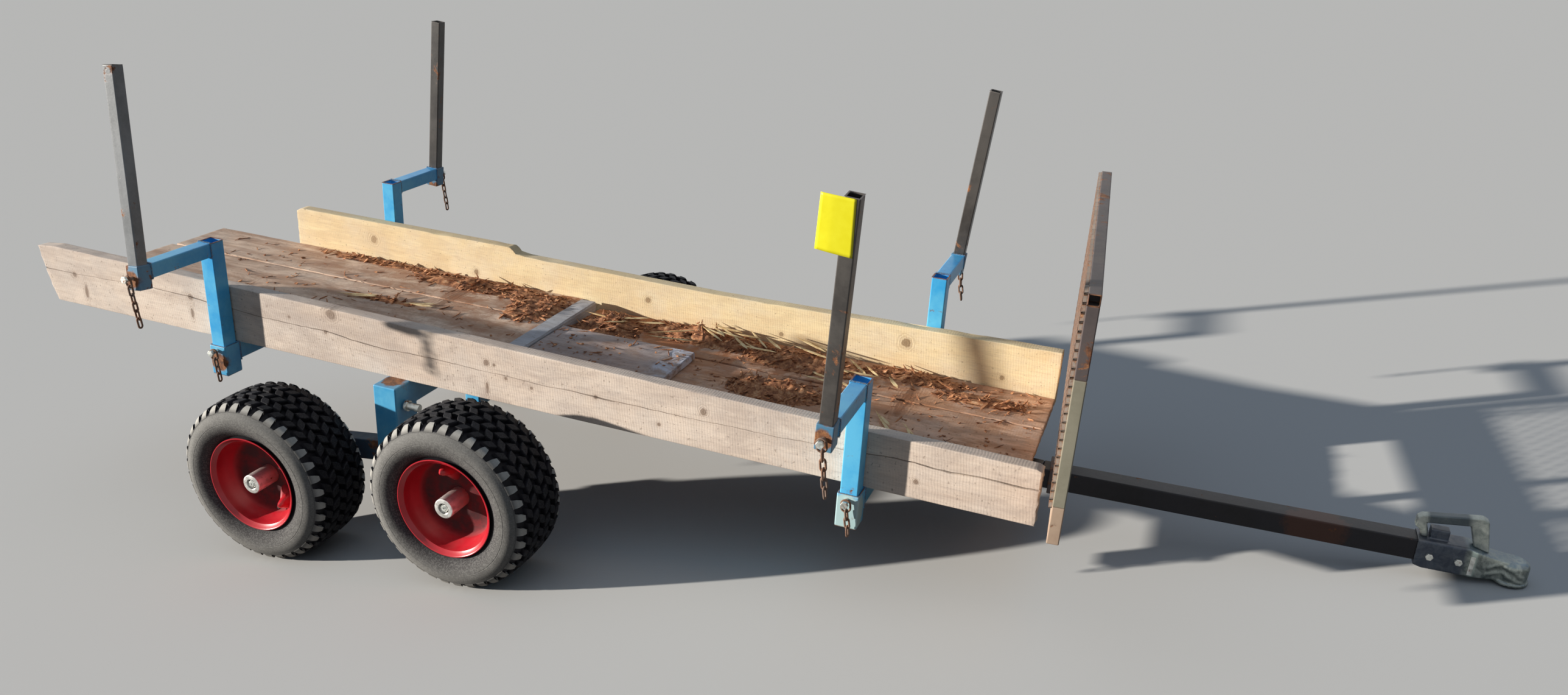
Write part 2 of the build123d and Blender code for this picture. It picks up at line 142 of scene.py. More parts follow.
world = bpy.data.worlds.new("soft_sky")
world.use_nodes = True
bpy.context.scene.world = world
tree = world.node_tree
sky = tree.nodes["Background"]
sky.inputs["Color"].default_value = (0.66, 0.80, 1.0, 1)
aloft = add(tree, "ShaderNodeTexCoord").outputs["Generated"]
height = add(tree, "ShaderNodeSeparateXYZ", {0: aloft}).outputs[2]
overhead = one(tree, "ShaderNodeMapRange", {"Value": height, "To Min": 0.04, "To Max": 0.40})
feed(tree, sky.inputs["Strength"], overhead)
behind = one(tree, "ShaderNodeBackground", {"Color": (0.86, 0.88, 0.90), "Strength": 1.0})
ray = add(tree, "ShaderNodeLightPath").outputs
direct = calc(tree, "MAXIMUM", ray["Is Camera Ray"], ray["Is Glossy Ray"])
seen = calc(tree, "MAXIMUM", direct, ray["Is Transmission Ray"])
blended = one(tree, "ShaderNodeMixShader", {0: seen, 1: sky.outputs[0], 2: behind})
feed(tree, tree.nodes["World Output"].inputs["Surface"], blended)

camera = bpy.data.cameras.new("camera")
camera.sensor_width = 36.0
camera.lens = 26.87
camera_object = in_scene("camera", camera)
bpy.context.scene.camera = camera_object
yaw, pitch, roll = 0.3834, 0.3473, -0.0751
stands_at = (1.5099, -3.0807, 1.7299)
look = Vector((-math.sin(yaw) * math.cos(pitch), math.cos(yaw) * math.cos(pitch), -math.sin(pitch)))
level = Vector((math.cos(yaw), math.sin(yaw), 0.0))
upright = level.cross(look)
side_axis = math.cos(roll) * level + math.sin(roll) * upright
top_axis = -math.sin(roll) * level + math.cos(roll) * upright
turn = Matrix((side_axis, top_axis, -look)).transposed().to_4x4()
camera_object.matrix_world = Matrix.Translation(stands_at) @ turn
bpy.context.scene.view_settings.view_transform = "Standard"


# Spine and drawbar: 60 mm square steel tube under the bed, painted black long
# ago. The paint is worn at the edges, dusty on top and rusts in patches.
def effect(name, outputs, **inputs):
    """A shared effect: its tree, its inputs' values inside it and its outputs."""
    tree = bpy.data.node_groups.new(name, "ShaderNodeTree")
    for label, value in inputs.items():
        kind = "NodeSocketVector" if isinstance(value, tuple) else "NodeSocketFloat"
        tree.interface.new_socket(label, in_out="INPUT", socket_type=kind).default_value = value
    for label, kind in outputs.items():
        tree.interface.new_socket(label, in_out="OUTPUT", socket_type="NodeSocket" + kind)
    return tree, tree.nodes.new("NodeGroupInput").outputs, tree.nodes.new("NodeGroupOutput").inputs


def use(tree, shared, **inputs):
    """A shared effect placed in a material; returns its outputs."""
    return add(tree, "ShaderNodeGroup", inputs, node_tree=shared).outputs


def own_place(tree):
    """Where a point is in its own piece, which lies at the origin."""
    return add(tree, "ShaderNodeTexCoord").outputs["Object"]


def fade(tree, value, low, high, start=0.0, end=1.0):
    """Goes smoothly from start to end while the value goes from low to high."""
    limits = {"Value": value, "From Min": low, "From Max": high, "To Min": start, "To Max": end}
    return one(tree, "ShaderNodeMapRange", limits, interpolation_type="SMOOTHSTEP")


def grit(tree, where, scale, detail=4.0, rough=0.6, bend=0.0):
    """Uneven value round one half."""
    return one(tree, "ShaderNodeTexNoise", {"Vector": where, "Scale": scale, "Detail": detail,
                                            "Roughness": rough, "Distortion": bend})


def ramp(tree, value, *stops):
    """Colours at places along a value."""
    made = add(tree, "ShaderNodeValToRGB", {0: value})
    points = made.color_ramp.elements
    while len(points) < len(stops):
        points.new(0.5)
    for point, (place, colour) in zip(points, stops):
        point.position = place
        point.color = (*colour, 1)
    return made.outputs[0]


def coat(tree, shader, colour, rough=None, height=None, strength=0.0, depth=0.0):
    """Joins a colour, and where given a roughness and a relief, to a material's shader."""
    feed(tree, shader.inputs["Base Color"], colour)
    if rough is not None:
        feed(tree, shader.inputs["Roughness"], rough)
    if height is not None:
        relief = {"Height": height, "Strength": strength, "Distance": depth}
        feed(tree, shader.inputs["Normal"], one(tree, "ShaderNodeBump", relief))


origin = (0.0, 0.0, 0.0)
rusting, given, result = effect("rusting", {"Mask": "Float", "Color": "Color", "Height": "Float"},
                                Vector=origin, Scale=12.0, Amount=0.4)
blotch = grit(rusting, given["Vector"], given["Scale"], 7.0, 0.68, 0.4)
start = calc(rusting, "MULTIPLY_ADD", given["Amount"], -0.42, 0.74)
feed(rusting, result["Mask"], fade(rusting, calc(rusting, "SUBTRACT", blotch, start), -0.02, 0.05))
grain = grit(rusting, given["Vector"], calc(rusting, "MULTIPLY", given["Scale"], 5.3), 6.0, 0.7)
feed(rusting, result["Color"], ramp(rusting, grain, (0.30, (0.045, 0.018, 0.010)),
                                    (0.46, (0.17, 0.062, 0.026)), (0.60, (0.34, 0.135, 0.048)),
                                    (0.75, (0.50, 0.26, 0.11))))
feed(rusting, result["Height"], grain)

edge_wear, given, result = effect("edge_wear", {"Mask": "Float"}, Vector=origin, Radius=0.003,
                                  Amount=0.5)
round_edge = one(edge_wear, "ShaderNodeBevel", {"Radius": given["Radius"]}, samples=4)
face_way = add(edge_wear, "ShaderNodeNewGeometry").outputs["Normal"]
same = add(edge_wear, "ShaderNodeVectorMath", {0: round_edge, 1: face_way}, operation="DOT_PRODUCT")
edge = fade(edge_wear, same.outputs["Value"], 0.995, 0.90)
chips = grit(edge_wear, given["Vector"], 85.0, 5.0, 0.7)
bare = calc(edge_wear, "MULTIPLY", edge, calc(edge_wear, "ADD", chips, given["Amount"]))
feed(edge_wear, result["Mask"], fade(edge_wear, bare, 0.66, 0.80))

dusting, given, result = effect("dusting", {"Mask": "Float"}, Vector=origin, Amount=0.4, Scale=14.0)
face_way = add(dusting, "ShaderNodeNewGeometry").outputs["Normal"]
up_way = add(dusting, "ShaderNodeSeparateXYZ", {0: face_way}).outputs[2]
settled = fade(dusting, up_way, 0.2, 0.95, 0.25, 1.0)
cloudy = fade(dusting, grit(dusting, given["Vector"], given["Scale"], 6.0, 0.7), 0.35, 0.7, 0.25, 1.0)
film = calc(dusting, "MULTIPLY", calc(dusting, "MULTIPLY", settled, cloudy), given["Amount"])
feed(dusting, result["Mask"], film)


def painted_steel(name, paint, faded, rust=0.3, edge=0.5, dust=0.3, gloss=0.42, scale=11.0, spots=(),
                  wear_to=None, shine=0.5):
    """Old paint on steel. Spots are centre, radius and, where it isn't rust, the colour."""
    made, tree, shader = surface(name, Specular_IOR_Level=shine)
    where = own_place(tree)
    patches = use(tree, rusting, Vector=where, Scale=scale, Amount=rust)
    worn = use(tree, edge_wear, Vector=where, Radius=0.0035, Amount=edge)["Mask"]
    mask = patches["Mask"]
    colour = tint(tree, fade(tree, grit(tree, where, 6.0, 6.0, 0.65), 0.34, 0.66), paint, faded)
    for centre, radius, *other in spots:
        away = add(tree, "ShaderNodeVectorMath", {0: where, 1: centre}, operation="DISTANCE")
        ragged = calc(tree, "MULTIPLY_ADD", grit(tree, where, 30.0, 5.0, 0.7), radius * 0.9,
                      away.outputs["Value"])
        share = fade(tree, ragged, radius * 1.5, radius * 1.2)
        if other:
            colour = tint(tree, calc(tree, "MULTIPLY", share, 0.85), colour, other[0])
        else:
            mask = calc(tree, "MAXIMUM", mask, share)
    rusty = calc(tree, "MAXIMUM", mask, worn)
    if wear_to is None:
        colour = tint(tree, rusty, colour, patches["Color"])
    else:
        colour = tint(tree, worn, tint(tree, mask, colour, patches["Color"]), wear_to)
    film = use(tree, dusting, Vector=where, Amount=dust)["Mask"]
    fine = grit(tree, where, 160.0, 3.0, 0.6)
    rough = calc(tree, "ADD", fade(tree, calc(tree, "MAXIMUM", rusty, film), 0.0, 1.0, gloss, 0.86),
                 calc(tree, "MULTIPLY_ADD", fine, 0.16, -0.08))
    height = calc(tree, "MULTIPLY_ADD", calc(tree, "SUBTRACT", patches["Height"], 0.9), rusty,
                  calc(tree, "MULTIPLY", fine, 0.25))
    coat(tree, shader, tint(tree, film, colour, (0.33, 0.28, 0.23)), rough, height, 0.35, 0.0012)
    return made


def settle(thing):
    """Turns a piece and its modifiers into a plain mesh."""
    seen_now = bpy.context.evaluated_depsgraph_get()
    mesh = bpy.data.meshes.new_from_object(thing.evaluated_get(seen_now))
    thing.modifiers.clear()
    thing.data = mesh
    return thing


def smooth(thing, angle=35.0):
    """Smooth shading up to the angle, with the broad faces kept flat."""
    thing.data.shade_smooth()
    thing.data.set_sharp_from_angle(angle=math.radians(angle))
    thing.modifiers.new("weighing", "WEIGHTED_NORMAL").keep_sharp = True
    return settle(thing)


def belongs(made, slot, *nodes, body="chassis"):
    """Attaches a piece to the body it rides on and hides the solids it stands for. The slot is not used.
    """
    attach(made, body)
    if nodes:
        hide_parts(*nodes)


def merged(node):
    """A solid's faces with their doubled corners merged, ready to be worked on."""
    shape = bmesh.new()
    shape.from_mesh(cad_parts[node].data)
    bmesh.ops.remove_doubles(shape, verts=shape.verts, dist=1e-5)
    return shape


def rounded(shape, edges, radius, steps):
    """Rounds edges of worked faces."""
    bmesh.ops.bevel(shape, geom=edges, offset=radius, offset_type="OFFSET", segments=steps,
                    profile=0.5, affect="EDGES", clamp_overlap=False)


def set_down(shape, name, material):
    """Turns worked faces into a piece."""
    made = mesh_piece(name, material=material)
    shape.to_mesh(made.data)
    shape.free()
    return made


def softened(node, radius, material, slot, steps=3, shortest=None):
    """A merged copy of a solid with its long edges rounded, standing for that solid."""
    shape = merged(node)
    bmesh.ops.dissolve_limit(shape, angle_limit=math.radians(0.5), verts=shape.verts, edges=shape.edges)
    bmesh.ops.remove_doubles(shape, verts=shape.verts, dist=0.0007)
    least = 3 * radius if shortest is None else shortest
    rounded(shape, [e for e in shape.edges if len(e.link_faces) == 2
                    and e.calc_face_angle(0) > math.radians(25) and e.calc_length() > least],
            radius, steps)
    belongs(smooth(set_down(shape, node + "_steel", material)), slot, node)


bed_pitch = math.radians(7.97)
bed_place = Vector((1.142948, 0.008719, 0.2238))
bed = Matrix.Translation(bed_place) @ Matrix.Rotation(bed_pitch, 4, "Y")


def at_bed(u, v, w):
    """A point of the bed: u forward, v left, w up, in metres."""
    return bed @ Vector((u, v, w))


rusty_stretch = (at_bed(0.63, -0.03, -0.02), 0.085, (0.090, 0.038, 0.026))
black_paint = painted_steel("black_paint", (0.006, 0.006, 0.009), (0.014, 0.014, 0.020), rust=0.24,
                            edge=0.40, dust=0.06, shine=0.25, spots=(rusty_stretch,))
for node in ("spine", "drawbar"):
    softened(node, 0.004, black_paint, "black_steel")

# Bunks, crossbar and their sockets: square tube welded across the spine and
# painted blue with a brush. The paint is faded, chipped and dusty.
bunk_u = {"front": -0.546, "rear": -2.659}
socket_v, socket_w = 0.468, -0.055
socket_spots = ((at_bed(bunk_u["rear"], -socket_v, socket_w), 0.036),
                (at_bed(bunk_u["rear"], socket_v, socket_w), 0.022),
                (at_bed(bunk_u["front"], -socket_v, socket_w), 0.066, (0.55, 0.72, 0.68)))
blue_paint = painted_steel("blue_paint", (0.050, 0.380, 0.720), (0.150, 0.550, 0.820), rust=0.15,
                           edge=0.40, dust=0.22, gloss=0.36, scale=16.0, spots=socket_spots)
for node in ("bunk_front", "bunk_rear", "crossbar"):
    softened(node, 0.004, blue_paint, "blue_paint")


# Weld beads round the joints: a row of overlapping ripples along each seam, left
# by hand welding and painted over with the tubes.
def layout(name, **inputs):
    """A tree that lays out what repeats, from a mesh and named inputs."""
    tree = bpy.data.node_groups.new(name, "GeometryNodeTree")
    for label, kind in {"Geometry": "Geometry", **inputs}.items():
        tree.interface.new_socket(label, in_out="INPUT", socket_type="NodeSocket" + kind)
    tree.interface.new_socket("Geometry", in_out="OUTPUT", socket_type="NodeSocketGeometry")
    return tree, tree.nodes.new("NodeGroupInput").outputs


def made_real(tree, laid, material, shaded=False):
    """Ends such a tree: plain meshes with their material, shaded smooth where they are round."""
    laid = one(tree, "GeometryNodeRealizeInstances", {"Geometry": laid})
    if shaded:
        laid = one(tree, "GeometryNodeSetShadeSmooth", {"Geometry": laid})
    laid = one(tree, "GeometryNodeSetMaterial", {"Geometry": laid, "Material": material})
    tree.links.new(laid, tree.nodes.new("NodeGroupOutput").inputs[0])


bead, given = layout("weld_bead", Pitch="Float", Size="Float", Paint="Material")
seam = one(bead, "GeometryNodeMeshToCurve", {"Mesh": given["Geometry"]})
steps = one(bead, "GeometryNodeResampleCurve", {"Curve": seam, "Length": given["Pitch"]}, mode="LENGTH")
places = add(bead, "GeometryNodeCurveToPoints", {"Curve": steps}, mode="EVALUATED").outputs
ripple = one(bead, "GeometryNodeMeshIcoSphere", {"Radius": given["Size"], "Subdivisions": 1})
uneven = one(bead, "FunctionNodeRandomValue",
             {"Min": (0.85, 0.85, 0.42), "Max": (1.15, 1.15, 0.62), "Seed": 7}, data_type="FLOAT_VECTOR")
laid = one(bead, "GeometryNodeInstanceOnPoints",
           {"Points": places[0], "Instance": ripple, "Rotation": places["Rotation"], "Scale": uneven})
made_real(bead, laid, given["Paint"], shaded=True)


def grown(name, tree, points, edges, faces, **inputs):
    """A mesh run through such a tree. What starts with _ is stored on its points."""
    made = mesh_piece(name, points, faces, edges=edges)
    for label, values in inputs.items():
        if label.startswith("_"):
            store = made.data.attributes.new(label[1:], "FLOAT_VECTOR", "POINT")
            for item, value in zip(store.data, values):
                item.vector = value
    growth = made.modifiers.new("growth", "NODES")
    growth.node_group = tree
    for socket in tree.interface.items_tree:
        if socket.in_out == "INPUT" and socket.name in inputs:
            growth[socket.identifier] = inputs[socket.name]
    return settle(made)


def square_loop(u, v, w, half, stands=False):
    """Corners of a square seam round a tube that runs across, or that stands."""
    return [at_bed(u + a, v + b, w) if stands else at_bed(u + a, v, w + b) for a, b in square(half)]


upright_v = 0.436
arm_reach = 0.271
arm_half = 0.0225
arm_tops = {"front_right": 0.324, "front_left": 0.336, "rear_right": 0.344, "rear_left": 0.333}
corner_names = tuple(arm_tops)
# Each corner: name, place along, side and top of its arm.
holder_corners = [(corner, bunk_u[corner.split("_")[0]], -1 if "right" in corner else 1, top)
                  for corner, top in arm_tops.items()]
blue_seams = []
for corner, u, side, top in holder_corners:
    for v, w, half in ((upright_v - 0.031, -0.030, 0.0305), (upright_v + 0.025, top - arm_half, 0.0230),
                       (upright_v + arm_reach - 0.0235, top - arm_half, 0.0230)):
        blue_seams.append(square_loop(u, side * v, w, half))
for u in bunk_u.values():
    blue_seams.append(square_loop(u, 0.0, -0.025, 0.031, stands=True))
bead_size = 0.0036
weld_beads = grown("weld_beads_blue", bead, sum(blue_seams, []),
                   [(4 * k + i, 4 * k + (i + 1) % 4) for k in range(len(blue_seams)) for i in range(4)],
                   (), Pitch=bead_size * 0.9, Size=bead_size, Paint=blue_paint)
belongs(weld_beads, "blue_paint")


# Cranked stake holders: an upright pinned in the socket, an arm and a short
# leaning sleeve for the stake, welded from square tube. The sleeves have gone rusty.
def soft_bar(x0, x1, y0, y1, z0, z1, place, radius=0.003, hollow=None):
    """A square bar with rounded edges; hollow is (axis, depth, ends) for open ends."""
    shape = bmesh.new()
    bmesh.ops.create_cube(shape, size=1.0)
    for vertex in shape.verts:
        vertex.co = [low + (high - low) * (c + 0.5)
                     for c, low, high in zip(vertex.co, (x0, y0, z0), (x1, y1, z1))]
    wall = 0.003
    axis, depth, ends = hollow or (0, 0, ())
    for end in ends:
        face = [f for f in shape.faces if f.normal[axis] * end > 0.9][0]
        bmesh.ops.inset_region(shape, faces=[face], thickness=wall, depth=0.0)
        moved = bmesh.ops.extrude_discrete_faces(shape, faces=[face])["faces"]
        for vertex in moved[0].verts:
            vertex.co[axis] -= end * depth
    bmesh.ops.recalc_face_normals(shape, faces=shape.faces)
    long_edge = 0.028
    rounded(shape, [e for e in shape.edges if e.calc_face_angle(0) > 1.0 and e.calc_length() > long_edge],
            radius, 3)
    shape.verts.index_update()
    bar = ([place @ v.co for v in shape.verts], [[v.index for v in f.verts] for f in shape.faces])
    shape.free()
    return bar


def joined(name, parts, material, merge=1e-5):
    """One mesh from lists of points and faces, its faces turned outwards."""
    shape = bmesh.new()
    for points, faces in parts:
        corners_here = [shape.verts.new(p) for p in points]
        for face in faces:
            shape.faces.new([corners_here[i] for i in face])
    bmesh.ops.remove_doubles(shape, verts=shape.verts, dist=merge)
    bmesh.ops.recalc_face_normals(shape, faces=shape.faces)
    mesh = bpy.data.meshes.new(name)
    shape.to_mesh(mesh)
    shape.free()
    mesh.materials.append(material)
    return mesh


# How far each sleeve leans forward and to the left, in degrees.
sleeve_leans = {"front_right": (3.4, -5.5), "front_left": (5.6, -0.9), "rear_right": (-5.5, 7.0),
                "rear_left": (4.2, 1.0)}
sleeve_places = {}
sleeve_rust = []
for corner, u, side, top in holder_corners:
    forward, leftward = map(math.radians, sleeve_leans[corner])
    lean = Matrix.Rotation(-leftward, 4, "X") @ Matrix.Rotation(forward, 4, "Y")
    sleeve_places[corner] = bed @ Matrix.Translation((u, side * (upright_v + arm_reach), top)) @ lean
    sleeve_rust.append((sleeve_places[corner] @ Vector((-0.004, side * 0.024, -0.040)), 0.030))
holder_blue = painted_steel("holder_blue", (0.030, 0.385, 0.800), (0.130, 0.560, 0.880), rust=0.22,
                            edge=0.55, dust=0.03, gloss=0.36, scale=18.0)
sleeve_blue = painted_steel("sleeve_blue", (0.045, 0.190, 0.340), (0.100, 0.280, 0.430), rust=0.42,
                            edge=0.60, dust=0.28, gloss=0.45, scale=18.0, spots=sleeve_rust)
upright_half, sleeve_half = 0.025, 0.023
for corner, u, side, top in holder_corners:
    v = side * upright_v
    arm_ends = sorted((side * (upright_v + 0.0245), side * (upright_v + arm_reach - 0.0185)))
    tubes = [soft_bar(u - upright_half, u + upright_half, v - upright_half, v + upright_half, -0.092,
                      top, bed, 0.0035, hollow=(2, 0.03, (1,))),
             soft_bar(u - arm_half, u + arm_half, *arm_ends, top - 2 * arm_half, top - 0.0002, bed,
                      0.0035)]
    sleeve = [soft_bar(-sleeve_half, sleeve_half, -sleeve_half, sleeve_half, -0.072, 0.0,
                       sleeve_places[corner])]
    for label, bars, paint in (("stake_holder_tubes_", tubes, holder_blue),
                               ("stake_sleeve_", sleeve, sleeve_blue)):
        made = in_scene(label + corner, joined(label + corner, bars, paint, merge=1e-6))
        belongs(smooth(made), "blue_paint", "stake_holder_" + corner)

# Stakes: 37 mm tube dropped into the sleeves, black paint rubbed grey by logs
# and rusty round the open top.
tube_black = painted_steel("stake_black", (0.030, 0.027, 0.026), (0.085, 0.078, 0.072), edge=0.70,
                           dust=0.25, gloss=0.38, scale=15.0, wear_to=(0.16, 0.14, 0.13))
# The right rear stake gets a pale grey copy of the paint: a painted sheen, standing for the low sun's
# glare on its black paint.
stake_painted_sheen = painted_steel("stake_painted_sheen_grey", (0.150, 0.158, 0.165), (0.270, 0.280, 0.290), rust=0.26,
                          edge=0.60, dust=0.15, gloss=0.34, scale=15.0, wear_to=(0.30, 0.29, 0.28))
for corner in corner_names:
    softened("stake_" + corner, 0.0035, stake_painted_sheen if corner == "rear_right" else tube_black,
             "black_steel")

# Lock pins: zinc plated bolts through sleeve and socket, with dull heads and
# specks of rust where the plating has gone.
zinc_plate, tree, shader = surface("zinc_plate", Metallic=0.85)
where = own_place(tree)
spangle = grit(tree, where, 95.0, 5.0, 0.65)
dirty = use(tree, rusting, Vector=where, Scale=45.0, Amount=0.36)
plate = tint(tree, fade(tree, spangle, 0.3, 0.7), (0.46, 0.47, 0.43), (0.72, 0.73, 0.69))
coat(tree, shader, tint(tree, dirty["Mask"], plate, dirty["Color"]),
     fade(tree, spangle, 0.3, 0.7, 0.34, 0.58), spangle, 0.25, 0.0006)
softened("lock_pins", 0.0010, zinc_plate, "zinc", steps=2, shortest=0.004)

# Chains that keep the pins: a ring and three short links each, bent from round
# wire, with loose brown rust all over.
chain_rust, tree, shader = surface("chain_rust", Roughness=0.85)
where = own_place(tree)
scale_rust = use(tree, rusting, Vector=where, Scale=60.0, Amount=1.0)
brown = fade(tree, grit(tree, where, 25.0), 0.42, 0.62, 0.35, 0.90)
coat(tree, shader, tint(tree, brown, scale_rust["Color"], (0.230, 0.165, 0.130)), None,
     scale_rust["Height"], 0.6, 0.0008)

links, given = layout("chain_links", Wire="Float", Length="Float", Width="Float", Rust="Material")
length, width = (calc(links, "SUBTRACT", given[label], given["Wire"]) for label in ("Length", "Width"))
oblong = one(links, "GeometryNodeCurvePrimitiveQuadrilateral", {"Width": width, "Height": length})
bend = one(links, "GeometryNodeFilletCurve",
           {"Curve": oblong, "Count": 6, "Radius": calc(links, "MULTIPLY", width, 0.499)}, mode="POLY")
wire = one(links, "GeometryNodeCurvePrimitiveCircle",
           {"Resolution": 10, "Radius": calc(links, "MULTIPLY", given["Wire"], 0.5)})
bar = one(links, "GeometryNodeCurveToMesh", {"Curve": bend, "Profile Curve": wire})
stood = one(links, "GeometryNodeTransform", {"Geometry": bar, "Rotation": (math.pi / 2, 0, 0)})
turned = one(links, "GeometryNodeInputNamedAttribute", {"Name": "turn"}, data_type="FLOAT_VECTOR")
hung = one(links, "GeometryNodeInstanceOnPoints",
           {"Points": given["Geometry"], "Instance": stood, "Rotation": turned})
made_real(links, hung, given["Rust"], shaded=True)

# The solids say where each ring and link hangs; those taller than this are rings.
ring_height = 0.038
shape = merged("chains")
met = set()
link_boxes = []
for start in shape.verts:
    if start in met:
        continue
    met.add(start)
    island = [start]
    low = high = Vector(start.co)
    while island:
        vertex = island.pop()
        low = Vector(map(min, low, vertex.co))
        high = Vector(map(max, high, vertex.co))
        near = {line.other_vert(vertex) for line in vertex.link_edges} - met
        met |= near
        island += near
    link_boxes.append((low, high))
shape.free()
chance = random.Random(5)
rings = []
short_links = []
for low, high in link_boxes:
    size = high - low
    flat_turn = 0.0 if size.x > size.y else math.pi / 2
    lean = (chance.uniform(-0.05, 0.05), chance.uniform(-0.05, 0.05),
            flat_turn + chance.uniform(-0.16, 0.16))
    (rings if size.z > ring_height else short_links).append(((low + high) / 2, lean))
for name, some, long, wide in (("chain_rings", rings, 0.040, 0.030),
                               ("chain_short_links", short_links, 0.036, 0.019)):
    made = grown(name, links, [p for p, _ in some], (), (), Wire=0.0058, Length=long, Width=wide,
                 Rust=chain_rust, _turn=[t for _, t in some])
    belongs(made, "rusty_chain", "chains")

# Portal axle: an 80 mm tube across the spine with a post at each end, and
# cheek plates that hold the walking beam. The tops of the posts are rusty.
post_tops = [at_bed(-2.013, side * 0.427, -0.012) for side in (-1, 1)]
axle_blue = painted_steel("axle_blue", (0.050, 0.370, 0.700), (0.140, 0.530, 0.800), rust=0.20,
                          edge=0.42, dust=0.25, gloss=0.36, scale=13.0,
                          spots=[(p, 0.042) for p in post_tops])
softened("axle_frame", 0.004, axle_blue, "blue_paint", shortest=0.02)


def skin(rings, around, closed=True):
    """Four-sided faces between rings of points, or between rows where not closed."""
    return [(k * around + i, k * around + (i + 1) % around, (k + 1) * around + (i + 1) % around,
             (k + 1) * around + i) for k in range(rings - 1) for i in range(around - (not closed))]


# A bolt end sticks out of the front face of each post: place along and radius of its rings.
bolt_u, bolt_v, bolt_w = -1.963, 0.438, -0.0665
bolt_rings = ((-0.002, 0.0175), (0.0065, 0.0175), (0.0075, 0.0165), (0.0076, 0.0122),
              (0.0440, 0.0122), (0.0465, 0.0105), (0.0470, 0.0001))
bolt_faces = skin(7, 24) + [range(24), range(144, 168)]
step = math.pi / 12
bolts = [([at_bed(bolt_u + along, side * bolt_v + r * math.cos(i * step), bolt_w + r * math.sin(i * step))
           for along, r in bolt_rings for i in range(24)], bolt_faces) for side in (-1, 1)]
belongs(smooth(in_scene("post_bolts", joined("post_bolts", bolts, zinc_plate))), "zinc")

# Walking beams and their pins: a box tube that rocks between two wheels, and
# a bolt through the cheeks. The beams are painted a dark blue, nearly black.
beam_blue = painted_steel("beam_blue", (0.018, 0.050, 0.090), (0.035, 0.100, 0.170), rust=0.42,
                          dust=0.5, gloss=0.55, scale=13.0)
for side in ("right", "left"):
    softened("walking_beam_" + side, 0.004, beam_blue, "blue_paint", shortest=0.03)
softened("bogie_pins", 0.0020, zinc_plate, "zinc", steps=2, shortest=0.010)


# Tyres: wide soft-ground tyres of black rubber with 36 rounded teeth round each
# shoulder and six staggered rows of slanted blocks. Walls and teeth are grey with dust.
def stored(tree, name):
    """A number kept on a piece's points or faces."""
    return add(tree, "ShaderNodeAttribute", attribute_name=name).outputs["Fac"]


rubber, tree, shader = surface("rubber", Specular_IOR_Level=0.15)
where = own_place(tree)
wall, reach = stored(tree, "wall"), stored(tree, "reach")
cloud = grit(tree, where, 16.0, 7.0, 0.7)
speck = grit(tree, where, 240.0, 3.0, 0.6)
dust = fade(tree, calc(tree, "ADD", cloud, calc(tree, "MULTIPLY", speck, 0.6)), 0.45, 1.0, 0.74, 1.0)
dusty = calc(tree, "MULTIPLY", calc(tree, "MINIMUM", wall, 1.0), dust)
black = tint(tree, fade(tree, cloud, 0.35, 0.7), (0.004, 0.004, 0.006), (0.011, 0.010, 0.014))
trodden = calc(tree, "MULTIPLY", fade(tree, reach, 0.2560, 0.2625),
               fade(tree, speck, 0.40, 0.62, 0.06, 0.35))
black = tint(tree, trodden, black, (0.080, 0.078, 0.080))
# The wall is painted darker towards the rim: painted shade where it curves in beside the rim flange.
grey = tint(tree, fade(tree, reach, 0.165, 0.228), (0.075, 0.070, 0.070), (0.215, 0.208, 0.195))
grey = tint(tree, fade(tree, speck, 0.45, 0.60, 0.0, 0.30), grey, (0.330, 0.320, 0.300))
# A dark ring where the wall meets the teeth: painted shade in that groove.
grey = tint(tree, fade(tree, reach, 0.232, 0.238, 0.0, 0.55), grey, (0.060, 0.058, 0.060))
# The teeth's flanks: dusty grey, darker towards their foot as painted shade between the teeth.
tooth_dust_and_painted_shade = tint(tree, fade(tree, reach, 0.238, 0.250), (0.230, 0.220, 0.205), (0.500, 0.480, 0.440))
grey = tint(tree, fade(tree, wall, 1.0, 2.0), grey, tooth_dust_and_painted_shade)
coat(tree, shader, tint(tree, dusty, black, grey), fade(tree, dusty, 0.0, 1.0, 0.62, 0.9),
     calc(tree, "ADD", cloud, speck), 0.25, 0.0010)


def mm(*pairs):
    """Pairs of radius and height, given in millimetres."""
    return [(r / 1000, y / 1000) for r, y in pairs]


tooth_count = 36
carcass_turns = 144
tread_foot = 0.2480
wall_profile = mm((143, 94), (150, 94.5), (154.5, 95), (157, 97.5), (161, 100), (166, 104), (173, 109.5),
                  (181, 114.2), (189, 117.2), (196, 118.6), (201, 118.9), (201.8, 118.3), (202.8, 118.3),
                  (203.6, 118.8), (210, 118.3), (216.5, 116.8), (222.5, 114.4), (228, 111.4),
                  (233, 108.2), (237.2, 106.2), (238, 105.2), (240, 103), (243, 98.5), (245.5, 93),
                  (247.2, 85), (247.8, 70), (248, 35))
inner_profile = mm((148, 89), (162, 92), (180, 105), (200, 109), (220, 103), (232, 85))
half_loop = inner_profile[::-1] + wall_profile
tyre_loop = [(tread_foot, 0.0)] + half_loop[::-1] + [(0.2360, 0.0)] + [(r, -y) for r, y in half_loop]


def swept(points, turns):
    """Points and faces of a closed profile of (radius, height) turned about the Y axis."""
    rows = len(points)
    angles = [2 * math.pi * i / turns for i in range(turns)]
    spots = [Vector((r * math.cos(a), y, r * math.sin(a))) for a in angles for r, y in points]
    faces = []
    for i in range(turns):
        n = (i + 1) % turns
        for j in range(rows):
            k = (j + 1) % rows
            faces.append((i * rows + j, n * rows + j, n * rows + k, i * rows + k))
    return spots, faces


def round_point(share, y, r):
    """A point of the tread: share of a pitch round the wheel, place across and radius."""
    a = share * 2 * math.pi / tooth_count
    return Vector((r * math.cos(a), y, r * math.sin(a)))


